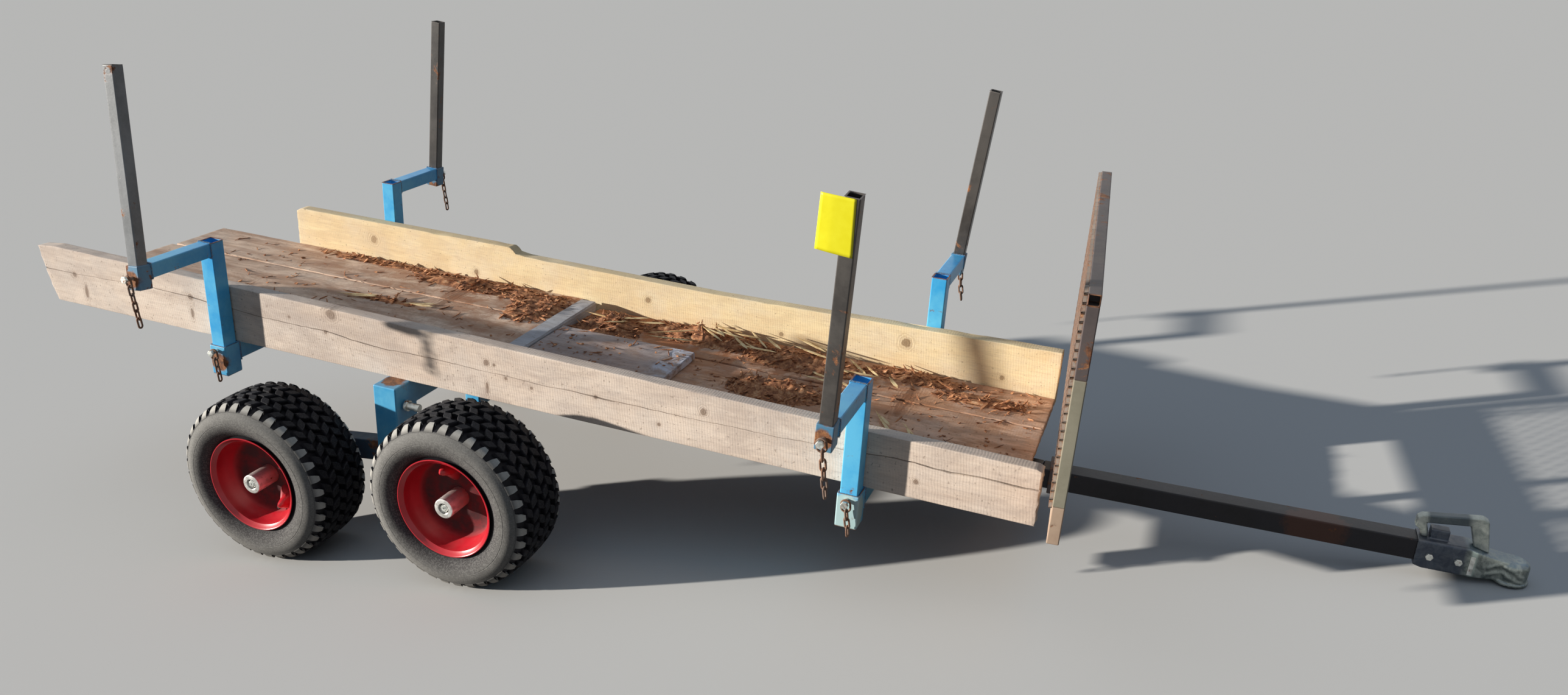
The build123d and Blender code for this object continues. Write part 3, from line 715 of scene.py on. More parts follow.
def slant_block(centre, y0, y1, slant, half=0.27):
    """A tread block with chamfered top, slanted across the tread."""
    middle = (y0 + y1) / 2
    corners = [(-half - slant, y0), (half - slant, y0), (half + 0.05, middle), (half + slant, y1),
               (-half + slant, y1), (-half - 0.05, middle)]
    points = []
    for s, y in corners:
        points.append(round_point(centre + s * 1.12, middle + (y - middle) * 1.12, 0.2470))
    for grow, drop in ((0.96, 0.0022), (0.80, 0.0)):
        for s, y in corners:
            across = middle + (y - middle) * (0.5 + 0.5 * grow)
            crown = 0.2640 - 0.0060 * (abs(across) / 0.085) ** 2.6
            points.append(round_point(centre + s * grow, across, crown - drop))
    return points, skin(3, 6) + [range(12, 18)]


# Rows of a shoulder tooth from its foot inwards: place across, radius of the ground, of the
# crown, half width there and lean.
tooth_rows = ((0.1070, 0.2366, 0.2374, 0.34, 0.00), (0.1052, 0.2376, 0.2412, 0.31, -0.01),
              (0.1015, 0.2398, 0.2462, 0.285, -0.03), (0.0968, 0.2428, 0.2512, 0.255, -0.05),
              (0.0915, 0.2450, 0.2552, 0.20, -0.07), (0.0868, 0.2462, 0.2574, 0.15, -0.09),
              (0.0835, 0.2468, 0.2580, 0.11, -0.10), (0.0800, 0.2470, 0.2560, 0.08, -0.10))


def shoulder_tooth(side):
    """A tooth that rises from the wall to the tread, wide at its foot and leaning."""
    points = [round_point(lean + wide, side * y, r) for y, low, high, half, lean in tooth_rows
              for r, wide in ((low, half + 0.03), (high, half), (high, -half), (low, -half - 0.03))]
    return points, skin(8, 4, closed=False) + [range(4), range(28, 32)]


pitch_points = []
pitch_faces = []
for side in (-1, 1):
    blocks = [shoulder_tooth(side)]
    for k, (y0, y1) in enumerate(((0.0020, 0.0275), (0.0300, 0.0555), (0.0580, 0.0800))):
        blocks.append(slant_block(0.5 * (k + (side > 0)), side * y0, side * y1, 0.17 * (-1) ** k))
    for points, faces in blocks:
        first = len(pitch_points)
        pitch_points += points
        pitch_faces += [[first + i for i in face] for face in faces]

tread, given = layout("tread_ring", Count="Int", Rubber="Material")
spots = one(tread, "GeometryNodePoints", {"Count": given["Count"]})
share = calc(tread, "DIVIDE", one(tread, "GeometryNodeInputIndex"), given["Count"])
angle = one(tread, "ShaderNodeCombineXYZ", {1: calc(tread, "MULTIPLY", share, 2 * math.pi)})
made_real(tread, one(tread, "GeometryNodeInstanceOnPoints",
                     {"Points": spots, "Instance": given["Geometry"], "Rotation": angle}),
          given["Rubber"])


def taken(made):
    """Points and faces of a piece, which goes."""
    parts = ([Vector(v.co) for v in made.data.vertices], [list(p.vertices) for p in made.data.polygons])
    bpy.data.objects.remove(made)
    return parts


def mark(mesh, name, rule, faces=False):
    """Stores a number on each point or face, which a rule works out."""
    store = mesh.attributes.new(name, "FLOAT", "FACE" if faces else "POINT")
    for item in (mesh.polygons if faces else mesh.vertices):
        store.data[item.index].value = rule(item)


def held(x):
    """A share, held between nothing and one."""
    return min(1.0, max(0.0, x))


def from_axle(place):
    """Distance from the wheel's axis."""
    return math.hypot(place.x, place.z)


def dust_and_shade_on(face):
    """Dust and painted shade on a tyre's face: none on the tread, one on the wall and two on the teeth's
    flanks, whose foot is painted in shade.
    """
    r, y = from_axle(face.center), abs(face.center.y)
    if y > 0.082 and abs(face.normal.y) > 0.30 and r > 0.2388 + (0.1060 - y) * 0.62:
        return 2.0
    return held((y - 0.0960) / 0.008) if r < 0.2385 else 0.0


tread_ring = taken(grown("tread_ring", tread, pitch_points, (), pitch_faces, Count=tooth_count,
                         Rubber=rubber))
tyre_mesh = joined("tyre_mesh", [swept(tyre_loop, carcass_turns), tread_ring], rubber)
mark(tyre_mesh, "wall", dust_and_shade_on, faces=True)
mark(tyre_mesh, "reach", lambda v: from_axle(v.co))

wheel_places = {name: sum(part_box("tyre_" + name), Vector()) / 2 for name in corner_names}


def on_wheel(name, kind, mesh, about, angle, slot, *nodes):
    """A copy of a mesh turned and put at a wheel's place, riding on that wheel."""
    made = in_scene(kind + "_" + name, mesh.copy())
    made.data.transform(Matrix.Translation(wheel_places[name]) @ about)
    belongs(smooth(made, angle), slot, *nodes, body="wheel_" + name)


half_turn = Matrix.Rotation(math.pi, 4, "Z")
for name in corner_names:
    about = half_turn if "left" in name else Matrix.Identity(4)
    on_wheel(name, "tyre_rubber", tyre_mesh, about @ Matrix.Rotation(math.radians(-90), 4, "Y"), 30,
             "tyre", "tyre_" + name)

# Rims: pressed steel, painted glossy red, with a rolled flange, a deep dish on
# the outer side, a pressed pocket for the valve and a short rubber valve in it.
rim_red, tree, shader = surface("rim_red")
where = own_place(tree)
tone = fade(tree, grit(tree, where, 12.0, 5.0, 0.6), 0.35, 0.7)
red = tint(tree, tone, (0.50, 0.006, 0.018), (0.60, 0.014, 0.028))
patches = use(tree, rusting, Vector=where, Scale=30.0, Amount=0.10)
red = tint(tree, patches["Mask"], red, patches["Color"])
film = use(tree, dusting, Vector=where, Amount=0.16, Scale=18.0)["Mask"]
red = tint(tree, film, red, (0.42, 0.16, 0.14))
# The middle of the dish goes dark towards the disc: painted shade in the deep recess, with some grime.
grime_and_painted_shade = calc(tree, "MULTIPLY", stored(tree, "deep"),
             fade(tree, grit(tree, where, 24.0, 5.0, 0.7), 0.30, 0.62, 0.75, 1.0))
coat(tree, shader, tint(tree, grime_and_painted_shade, red, (0.045, 0.006, 0.007)),
     fade(tree, calc(tree, "MAXIMUM", film, grime_and_painted_shade), 0.0, 0.8, 0.30, 0.85),
     grit(tree, where, 60.0, 3.0), 0.12, 0.001)

black_rubber, tree, shader = surface("valve_rubber", Roughness=0.6)
coat(tree, shader, tint(tree, grit(tree, own_place(tree), 70.0), (0.012, 0.012, 0.012),
                        (0.06, 0.055, 0.05)))

half_rim = 0.107
dish = 0.024
rim_loop = mm((151.8, -107), (151.2, -104), (146.2, -99), (141.8, -97), (140, -85), (133, -60), (118, -30),
              (112, 0), (116, 20), (123, 40), (136, 72), (140.8, 92), (141.8, 97), (146.2, 99),
              (150.6, 103), (151.9, 105.6), (151.3, 106.8), (149.2, 106.9), (146.8, 105.4), (144, 101),
              (137.6, 96), (136.2, 90), (135, 81), (131, 70), (122.5, 51), (117.2, 37), (112, 29),
              (107, 26.7), (101, 25.2), (96, 24.4), (90, 24), (83, 24), (76, 24.2), (64, 25.2), (56, 27),
              (44, 27), (34.5, 25.2), (30.3, 24), (30.3, 16), (44, 18), (90, 15.5), (105, 15.5),
              (109, 0), (115, -32), (129, -62), (135.5, -88), (140, -103), (146.6, -106.4))
rim_points, rim_faces = swept(rim_loop, 96)
# The valve's pocket is pressed out of the bottom of the dish.
pocket_angle = math.radians(90)
pocket_out, pocket_radius, pocket_rise = 0.100, 0.030, 0.063
for p in rim_points:
    r = from_axle(p)
    away = math.hypot((math.atan2(p.z, p.x) - pocket_angle) * r, (r - pocket_out) * 1.1)
    if away < pocket_radius and dish - 0.010 < p.y < half_rim - 0.020:
        swell = (0.5 + 0.5 * math.cos(math.pi * away / pocket_radius)) ** 0.45
        p.y = max(p.y, p.y + (min(half_rim - 0.020, p.y + pocket_rise) - p.y) * swell)
rim_mesh = joined("rim_mesh", [(rim_points, rim_faces)], rim_red)
mark(rim_mesh, "deep", lambda v: held((half_rim - v.co.y - 0.050) / 0.030) if from_axle(v.co) < 0.118
     else 0.0)
valve_loop = mm((0.001, -10), (6, -10), (5.8, 8), (4.6, 11), (4.2, 17), (5, 18), (5, 24), (4, 25.5),
                (0.001, 25.5))
valve_mesh = joined("valve_mesh", [swept(valve_loop, 20)], black_rubber)
valve_out, valve_angle = 0.104, pocket_angle + 0.45
valve_mesh.transform(Matrix.Translation((valve_out * math.cos(valve_angle), dish + 0.004,
                                         valve_out * math.sin(valve_angle))))

# Hubs: turned steel barrels on the stub axles, zinc plated, with a bevelled end
# and the axle's nut sunk in it. Paint from the rim has run onto the barrel.
hub_zinc, tree, shader = surface("hub_zinc", Metallic=0.55)
where = own_place(tree)
spangle = grit(tree, where, 60.0, 6.0, 0.7)
bright = tint(tree, fade(tree, spangle, 0.3, 0.7), (0.52, 0.50, 0.46), (0.80, 0.79, 0.76))
overspray = calc(tree, "MULTIPLY", stored(tree, "near_rim"), fade(tree, spangle, 0.30, 0.60, 0.2, 0.9))
bright = tint(tree, overspray, bright, (0.50, 0.10, 0.07))
spotted = use(tree, rusting, Vector=where, Scale=40.0, Amount=0.30)
coat(tree, shader, tint(tree, spotted["Mask"], bright, spotted["Color"]),
     fade(tree, spangle, 0.3, 0.7, 0.30, 0.55), spangle, 0.2, 0.0008)

hub_front = half_rim - 0.003
hub_loop = mm((15.1, -70), (28.5, -70), (30, -68.5), (30, 3), (31, 3.6), (55, 3.6), (56, 4.6), (56, 14.6),
              (55.2, 15.5), (30, 15.5), (30, 101), (29.2, 102.8), (27.2, 104), (17.5, 104),
              (16.5, 103.2), (16, 99), (15.1, 98), (15.1, 84), (15.1, -10))
hub_mesh = joined("hub_mesh", [swept(hub_loop, 64)], hub_zinc)
mark(hub_mesh, "near_rim", lambda v: held((hub_front - 0.004 - v.co.y) / 0.050))
flat = [math.radians(60 * i + 12) for i in range(6)]
nut_points = [Vector((r * math.cos(a), y, r * math.sin(a)))
              for r, y in mm((12.8, 82.5), (12.8, 100), (11.2, 101.4)) for a in flat]
end_loop = mm((0.001, 92), (7.5, 92), (7.5, 101.6), (6.6, 102.8), (2.5, 102.8), (1.6, 101.4),
              (0.001, 101.4))
nut_mesh = joined("nut_mesh", [(nut_points, skin(3, 6) + [range(6), range(12, 18)]),
                               swept(end_loop, 28)], zinc_plate)

# How far each rim was turned when the trailer was parked, in degrees.
rim_turns = {"rear_right": -138.0, "front_right": 2.0, "rear_left": 60.0, "front_left": -130.0}
for name in corner_names:
    about = half_turn if "right" in name else Matrix.Identity(4)
    about = about @ Matrix.Rotation(math.radians(rim_turns[name]), 4, "Y")
    on_wheel(name, "rim_steel", rim_mesh, about, 32, "red_paint", "rim_" + name)
    on_wheel(name, "valve", valve_mesh, about, 32, None)
    on_wheel(name, "hub_barrel", hub_mesh, about, 32, "zinc", "hub_" + name)
    on_wheel(name, "axle_nut", nut_mesh, about, 32, "zinc")


# Right side plank: rough sawn softwood standing on edge, weathered pinkish
# beige, with one long drying crack, knots, nail holes and an old saw cut.
def box_grid(us, vs, ws, place, round_by=0.003):
    """Points and faces of a board's skin: levels along three directions, placed by a rule."""
    levels = (us, vs, ws)
    last = [len(level) - 1 for level in levels]
    index = {}
    points = []

    def corner_at(*key):
        if key not in index:
            ends = [n in (0, top) for n, top in zip(key, last)]
            inward = [round_by * 0.3 * ((n == 0) - (n == top)) * (sum(ends) > 1)
                      for n, top in zip(key, last)]
            index[key] = len(points)
            points.append(at_bed(*place(*[level[n] for level, n in zip(levels, key)], inward, ends)))
        return index[key]

    faces = []
    for a in range(3):
        b, c = [n for n in range(3) if n != a]
        for end in (0, last[a]):
            for m in range(last[b]):
                for n in range(last[c]):
                    quad = []
                    for dm, dn in ((0, 0), (1, 0), (1, 1), (0, 1)):
                        key = [end, end, end]
                        key[b] = m + dm
                        key[c] = n + dn
                        quad.append(corner_at(*key))
                    faces.append(quad)
    return points, faces


def spread(step, lip, length=1.0):
    """Shares of a length about a step apart, with one a lip's width in from each end."""
    step, lip = step / length, lip / length
    count = max(2, round((1 - 2 * lip) / step))
    return [0.0] + [lip + (1 - 2 * lip) * i / count for i in range(count + 1)] + [1.0]


def between(x, table):
    """A value read off a table of (place, value) pairs."""
    if x <= table[0][0]:
        return table[0][1]
    for (x0, y0), (x1, y1) in zip(table, table[1:]):
        if x <= x1:
            return y0 + (y1 - y0) * (x - x0) / (x1 - x0)
    return table[-1][1]


def mapped(tree, where, **turned):
    """A place stretched, turned or shifted."""
    return one(tree, "ShaderNodeMapping", {"Vector": where, **turned})


bed_space, given, result = effect("bed_space", {"Vector": "Vector"})
unturn = Matrix.Rotation(-bed_pitch, 4, "Y")
feed(bed_space, result["Vector"], mapped(bed_space, own_place(bed_space), Rotation=(0, -bed_pitch, 0),
                                         Location=-(unturn @ bed_place)))

sawn_grain, given, result = effect("sawn_grain", {"Tone": "Float", "Fibre": "Float", "Saw": "Float"},
                                   Vector=origin, Rings=26.0, Bend=2.0, Figure=0.2)
long_way = mapped(sawn_grain, given["Vector"], Scale=(0.16, 1.0, 1.0))
bands = add(sawn_grain, "ShaderNodeTexWave",
            {"Vector": long_way, "Scale": given["Rings"], "Distortion": given["Bend"], "Detail": 3.0,
             "Detail Scale": 1.2, "Detail Roughness": 0.6}, bands_direction="Z")
broad = grit(sawn_grain, long_way, 9.0, 6.0, 0.66, 0.5)
growth_rings = calc(sawn_grain, "MULTIPLY", calc(sawn_grain, "SUBTRACT", bands.outputs["Fac"], 0.5),
                    given["Figure"])
feed(sawn_grain, result["Tone"], calc(sawn_grain, "ADD", growth_rings, broad))
thread = mapped(sawn_grain, given["Vector"], Scale=(0.05, 1.0, 1.0))
feed(sawn_grain, result["Fibre"], grit(sawn_grain, thread, 320.0, 5.0, 0.7))
slanted = mapped(sawn_grain, given["Vector"], Rotation=(0, 0.10, 0))
kerf = add(sawn_grain, "ShaderNodeTexWave", {"Vector": slanted, "Scale": 38.0, "Distortion": 3.5,
                                             "Detail": 2.0, "Detail Scale": 0.8}, bands_direction="X")
feed(sawn_grain, result["Saw"], kerf.outputs["Fac"])

knot_spot, given, result = effect("knot_spot", {"Dark": "Float", "Ring": "Float"}, Vector=origin,
                                  Centre=origin, Size=0.02, Stretch=1.0)
offset = one(knot_spot, "ShaderNodeVectorMath", {0: given["Vector"], 1: given["Centre"]},
             operation="SUBTRACT")
parts = add(knot_spot, "ShaderNodeSeparateXYZ", {0: offset}).outputs
flat = one(knot_spot, "ShaderNodeCombineXYZ",
           {0: parts[0], 1: calc(knot_spot, "MULTIPLY", parts[1], 0.15),
            2: calc(knot_spot, "DIVIDE", parts[2], given["Stretch"])})
crooked = calc(knot_spot, "MULTIPLY_ADD", grit(knot_spot, given["Vector"], 70.0, 3.0), 0.8, -0.4)
away = add(knot_spot, "ShaderNodeVectorMath", {0: flat}, operation="LENGTH").outputs["Value"]
distance = calc(knot_spot, "ADD", calc(knot_spot, "DIVIDE", away, given["Size"]), crooked)
feed(knot_spot, result["Dark"], fade(knot_spot, distance, 1.05, 0.55))
ripples = calc(knot_spot, "SINE", calc(knot_spot, "MULTIPLY", distance, 13.0))
feed(knot_spot, result["Ring"], calc(knot_spot, "MULTIPLY",
                                     calc(knot_spot, "MULTIPLY_ADD", ripples, 0.5, 0.5),
                                     fade(knot_spot, distance, 2.4, 0.9)))


def darker(colour, *shares):
    """A colour with each of its parts brought down."""
    return tuple(part * share for part, share in zip(colour, shares))


def sawn_timber(name, light, dark, grey, figure, saw, knots=(), rings=16.0, grey_share=0.5,
                stain=None, cracks=False, soil=None):
    """Weathered wood. Knots are (u, v, w, size, stretch) in the bed's frame, in metres."""
    made, tree, shader = surface(name, Roughness=0.84)
    where = use(tree, bed_space)["Vector"]
    figure = use(tree, sawn_grain, Vector=where, Rings=rings, Bend=6.0, Figure=figure)
    colour = tint(tree, fade(tree, figure["Tone"], 0.36, 0.70), light, dark)
    weather = fade(tree, grit(tree, where, 5.5, 7.0, 0.7), 0.40, 0.66, 0.0, grey_share)
    colour = tint(tree, weather, colour, grey)
    streak = fade(tree, figure["Fibre"], 0.36, 0.56, 0.20, 0.0)
    colour = tint(tree, streak, colour, darker(dark, 0.45, 0.42, 0.40))
    saw_tone = calc(tree, "MULTIPLY", fade(tree, figure["Saw"], 0.2, 0.9, 0.22, 0.0), saw)
    colour = tint(tree, saw_tone, colour, darker(dark, 0.6, 0.6, 0.6))
    spots = fade(tree, grit(tree, where, 110.0, 3.0, 0.5), 0.63, 0.72, 0.0, 0.60)
    colour = tint(tree, spots, colour, darker(dark, 0.35, 0.32, 0.30))
    height = calc(tree, "ADD", calc(tree, "MULTIPLY", figure["Fibre"], 0.7),
                  calc(tree, "MULTIPLY", figure["Saw"], 0.5 * saw))
    for *centre, size, stretch in knots:
        knot = use(tree, knot_spot, Vector=where, Centre=centre, Size=size, Stretch=stretch)
        colour = tint(tree, calc(tree, "MULTIPLY", knot["Ring"], 0.42), colour,
                      darker(dark, 0.55, 0.48, 0.42))
        colour = tint(tree, calc(tree, "MULTIPLY", knot["Dark"], 0.80), colour,
                      darker(dark, 0.30, 0.24, 0.20))
        height = calc(tree, "SUBTRACT", height, calc(tree, "MULTIPLY", knot["Ring"], 0.3))
    if stain is not None:
        shade, amount, size = stain
        drawn = mapped(tree, where, Scale=(0.35, 1.0, 1.0))
        wet = fade(tree, grit(tree, drawn, size, 7.0, 0.72, 0.6), 0.42, 0.62, 0.0, amount)
        colour = tint(tree, wet, colour, shade)
    if soil is not None:
        # Bark dust trodden in, on the patch a pale bluish edge with painted sky light: shade, places along
        # where it starts and is thickest, and amount.
        shade, clean_u, full_u, amount = soil
        place = add(tree, "ShaderNodeSeparateXYZ", {0: where}).outputs
        laid = calc(tree, "MULTIPLY", fade(tree, place[0], clean_u, full_u, 0.12, 1.0),
                    fade(tree, place[1], -0.05, 0.34, 0.55, 1.35))
        patchy = fade(tree, grit(tree, where, 13.0, 8.0, 0.75, 0.5), 0.40, 0.58)
        share = calc(tree, "MULTIPLY", laid, calc(tree, "MULTIPLY", patchy, amount))
        colour = tint(tree, calc(tree, "MINIMUM", share, 0.95), colour, shade)
    if cracks:
        # The inside of the long crack is painted dark: painted shade in the split.
        split = fade(tree, stored(tree, "crack"), 0.08, 0.7)
        colour = tint(tree, split, colour, (0.045, 0.030, 0.022))
    coat(tree, shader, colour, None, height, 0.55, 0.0016)
    return made


plank_outer = 0.407
plank_inner = 0.363
unbed = bed.inverted()
# Knots and stains on the outer face: place along, place up, size and stretch upwards.
right_knots = ((-3.307, 0.107, 0.011, 1.0), (-3.264, 0.054, 0.009, 3.2), (-2.807, 0.119, 0.013, 1.0),
               (-2.807, 0.064, 0.008, 2.6), (-2.249, 0.166, 0.021, 1.0), (-2.412, 0.127, 0.006, 1.0),
               (-2.275, 0.103, 0.008, 1.0), (-1.694, 0.120, 0.012, 1.0), (-1.668, 0.118, 0.006, 1.0),
               (-1.694, 0.038, 0.007, 3.4), (-1.629, 0.083, 0.006, 1.0), (-1.543, 0.070, 0.006, 1.0),
               (-1.331, 0.088, 0.008, 1.0), (-0.995, 0.118, 0.012, 1.1), (-0.382, 0.051, 0.009, 1.0),
               (-1.13, 0.047, 0.007, 1.0))
right_wood = sawn_timber("right_plank_wood", (0.870, 0.720, 0.595), (0.720, 0.570, 0.460),
                         (0.690, 0.610, 0.550), 0.05, 0.30, cracks=True,
                         knots=[(u, -plank_outer, *rest) for u, *rest in right_knots],
                         stain=((0.400, 0.310, 0.265), 0.42, 9.0))
crack_path = ((-3.43, 0.111), (-3.30, 0.109), (-3.08, 0.122), (-2.81, 0.119), (-2.73, 0.112),
              (-2.51, 0.106), (-2.275, 0.103), (-2.04, 0.089), (-1.88, 0.093), (-1.69, 0.093),
              (-1.49, 0.088), (-1.33, 0.088), (-1.10, 0.090), (-0.95, 0.090), (-0.84, 0.089),
              (-0.60, 0.097), (-0.39, 0.107), (-0.30, 0.101), (-0.17, 0.106), (-0.06, 0.105))
crack_gap = ((-3.45, 0.0016), (-3.3, 0.0006), (-3.0, 0.0007), (-2.8, 0.0014), (-2.5, 0.0008),
             (-2.27, 0.0013), (-1.9, 0.0010), (-1.69, 0.0006), (-1.5, 0.0009), (-1.33, 0.0016),
             (-1.0, 0.0007), (-0.6, 0.0008), (-0.4, 0.0016), (-0.25, 0.0024), (-0.06, 0.0018))
right_top = ((-3.454, 0.187), (-3.380, 0.195), (-0.074, 0.163), (-0.064, 0.157))
right_rear, right_front = -3.420, -0.064


def wobble(u, v, w, scale, size):
    """Seeded unevenness of a surface, in metres."""
    return noise.noise(Vector((u * scale + 3.1, v * scale + 7.7, w * scale + 1.3))) * size


def right_place(a, b, c, inward, ends):
    """Places a point of the right plank: a along, b through and c up, each from 0 to 1."""
    rear = right_rear - 0.034 * c + 0.020 * (1 - c) ** 4
    u = rear + (right_front - rear) * a + inward[0]
    if ends[0]:
        u += wobble(0.0, b * 0.5, c, 28.0, 0.0035) + wobble(0.0, b * 0.6, c, 90.0, 0.0020)
    top = between(u, right_top) - 0.0008
    crack = between(u, crack_path) + wobble(u, 0.0, 0.0, 9.0, 0.0045) + wobble(u, 0.0, 5.0, 45.0, 0.0015)
    w = crack * c / 0.5 if c <= 0.5 else crack + (top - crack) * (c - 0.5) / 0.5
    gap = 1.5 * between(u, crack_gap) * (0.7 + 0.6 * abs(wobble(u, 2.0, 0.0, 12.0, 1.0)))
    if c in (0.49, 0.51):
        w = crack + (gap if c > 0.5 else -gap)
    v = -plank_outer + (plank_outer - plank_inner) * b
    if ends[1]:
        if b == 0 and c == 0.5:
            v += min(0.016, gap * 8.0)
        v += wobble(u, 0.0, w, 11.0, 0.0010) + wobble(u, 0.0, w, 55.0, 0.0004)
        v = max(v, -plank_outer - 0.0002)
    v += inward[1]
    w += inward[2]
    if c == 1:
        w -= max(0.0, wobble(u, v * 2, 0.0, 6.0, 1.0) - 0.18) * 0.012 * (1.0 if ends[1] else 0.35)
    return u, v, w


def in_crack(vertex):
    """Whether a point lies inside the long crack."""
    here = unbed @ vertex.co
    inside = -plank_outer + 0.0030 < here.y < -plank_outer + 0.0165 and -3.43 < here.x < -0.068
    return float(inside and abs(here.z - between(here.x, crack_path)) < 0.010)


def board_piece(mesh, slot, node):
    """A piece of sawn timber, standing for its solid."""
    belongs(smooth(in_scene(mesh.name, mesh), 50), slot, node)


rows_up = [0.0, 0.016, 0.08, 0.16, 0.24, 0.32, 0.40, 0.46, 0.49, 0.5, 0.51, 0.54, 0.60, 0.68, 0.76, 0.84,
           0.92, 0.984, 1.0]
right_grid = box_grid(spread(0.0032, 0.0009), [0.0, 0.07, 0.30, 0.50, 0.70, 0.93, 1.0], rows_up,
                      right_place)
right_plank = joined("right_plank", [right_grid], right_wood, merge=0.0)
mark(right_plank, "crack", in_crack)
board_piece(right_plank, "grey_plank", "side_plank_right")

# Left side plank: fresher timber, yellow on its inner face, and one end of its
# top edge cut lower behind the middle.
left_knots = ((-2.70, 0.120, 0.018, 1.0), (-1.55, 0.090, 0.013, 1.0), (-0.62, 0.115, 0.020, 1.0),
              (-1.05, 0.060, 0.010, 1.0), (-2.25, 0.070, 0.012, 1.0), (-0.30, 0.060, 0.010, 1.0))
left_wood = sawn_timber("left_plank_wood", (0.960, 0.780, 0.470), (0.860, 0.650, 0.370),
                        (0.840, 0.730, 0.560), 0.05, 0.25,
                        knots=[(u, plank_inner, *rest) for u, *rest in left_knots],
                        stain=((0.620, 0.430, 0.250), 0.30, 9.0))
left_top = ((-3.055, 0.178), (-3.035, 0.190), (-2.098, 0.189), (-2.084, 0.170), (-2.040, 0.164),
            (-1.300, 0.158), (-0.125, 0.180))
left_rear, left_long = -3.055, 2.930


def inwards(share):
    """Which way leads into the board from one of its ends."""
    return 1 if share == 0 else -1


def left_place(a, b, c, inward, ends):
    """Places a point of the left plank."""
    u = left_rear + left_long * a + inward[0]
    if ends[0]:
        u += abs(wobble(2.0, b * 0.5, c, 30.0, 0.0030)) * inwards(a)
    w = (between(u, left_top) - 0.0006) * c
    v = plank_inner + (plank_outer - plank_inner) * b + inward[1]
    if ends[1]:
        dent = wobble(u, 4.0, w, 12.0, 0.0010) + wobble(u, 4.0, w, 50.0, 0.0004)
        v += abs(dent) * inwards(b)
    w += inward[2]
    if c == 1:
        w -= max(0.0, wobble(u, v * 2, 9.0, 7.0, 1.0) - 0.20) * 0.011
    return u, v, w


left_grid = box_grid(spread(0.0040, 0.0010), [0.0, 0.07, 0.35, 0.65, 0.93, 1.0], spread(0.06, 0.016),
                     left_place)
board_piece(joined("left_plank", [left_grid], left_wood, merge=0.0), "yellow_plank", "side_plank_left")

# Deck: three wide boards at the rear, raised on a thicker layer, and three
# thinner ones in front, brown with wet bark, their edges broken.
deck_brown = sawn_timber("deck_brown", (0.930, 0.690, 0.510), (0.620, 0.395, 0.265),
                         (0.760, 0.640, 0.540), 0.35, 0.15, rings=14.0, grey_share=0.40,
                         stain=((0.300, 0.165, 0.105), 0.50, 10.0),
                         soil=((0.330, 0.130, 0.055), -3.2, -1.9, 0.85),
                         knots=((-2.9, -0.2, 0.05, 0.02, 1.0), (-2.2, 0.15, 0.05, 0.024, 1.0),
                                (-0.8, -0.1, 0.026, 0.02, 1.0)))
deck_front_wood = sawn_timber("deck_front_wood", (0.920, 0.570, 0.370), (0.550, 0.285, 0.155),
                              (0.680, 0.550, 0.460), 0.40, 0.15, grey_share=0.60,
                              stain=((0.200, 0.095, 0.050), 0.50, 8.0),
                              soil=((0.380, 0.140, 0.050), -0.1, -1.0, 0.80),
                              knots=((-0.55, 0.12, 0.026, 0.022, 1.0), (-0.95, -0.22, 0.026, 0.018, 1.0)))


def deck_board(u0, u1, v0, v1, thick, key):
    """Points and faces of a board with a ragged end and broken edges."""
    def place(a, b, c, inward, ends):
        u = u0 + (u1 - u0) * a + inward[0]
        v = v0 + (v1 - v0) * b + inward[1]
        w = thick * c + inward[2]
        if ends[0]:
            u += abs(wobble(key, v, w, 40.0, 0.0040)) * inwards(a)
        if ends[1]:
            v += abs(wobble(u, key, w, 14.0, 0.0026) + wobble(u, key, w, 60.0, 0.0010)) * inwards(b)
        if c == 1:
            w -= abs(wobble(u, v, key, 9.0, 0.0022)) + abs(wobble(u, v, key, 45.0, 0.0008))
            if ends[1]:
                w -= max(0.0, wobble(u, v, key + 9, 7.0, 1.0) - 0.10) * 0.016
        return u, v, w
    return box_grid(spread(0.012, 0.003, u1 - u0), spread(0.016, 0.003, v1 - v0),
                    [0.0, 0.12, 0.5, 0.88, 1.0], place)


board_gap = 0.007
deck_half = 0.360
board_width = (2 * deck_half - 2 * board_gap) / 3
rear_boards = []
front_boards = []
for i in range(3):
    v0 = -deck_half + i * (board_width + board_gap)
    v1 = v0 + board_width
    rear_boards.append(deck_board(-3.450 + 0.012 * i, -1.8005, v0, v1, 0.050, 1.0 + 3.7 * i))
    front_boards.append(deck_board(-1.7375, -0.125, v0, v1, 0.026, 5.0 + 3.7 * i))
for name, node, boards, wood in (("deck_rear_boards", "deck_boards_rear", rear_boards, deck_brown),
                                 ("deck_front_boards", "deck_boards_front", front_boards,
                                  deck_front_wood)):
    board_piece(joined(name, boards, wood, merge=0.0), "deck_wood", node)

# Batten across the step of the deck and the short patch in front of it: pale
# planed wood, rubbed smooth and greyish by sliding logs. Their bluish tint is painted sky light.
pale_wood = sawn_timber("batten_wood", (0.560, 0.550, 0.560), (0.400, 0.380, 0.385),
                        (0.480, 0.510, 0.570), 0.2, 0.1, rings=30.0, grey_share=0.6)
# Here the soil setting paints the patch's front edge pale bluish grey: pale worn wood, its blue tint
# painted sky light.
patch_wood = sawn_timber("patch_wood", (0.560, 0.400, 0.320), (0.330, 0.210, 0.160),
                         (0.480, 0.440, 0.430), 0.30, 0.15, rings=18.0, grey_share=0.6,
                         stain=((0.120, 0.070, 0.050), 0.50, 8.0),
                         soil=((0.620, 0.620, 0.690), -1.335, -1.312, 1.9))


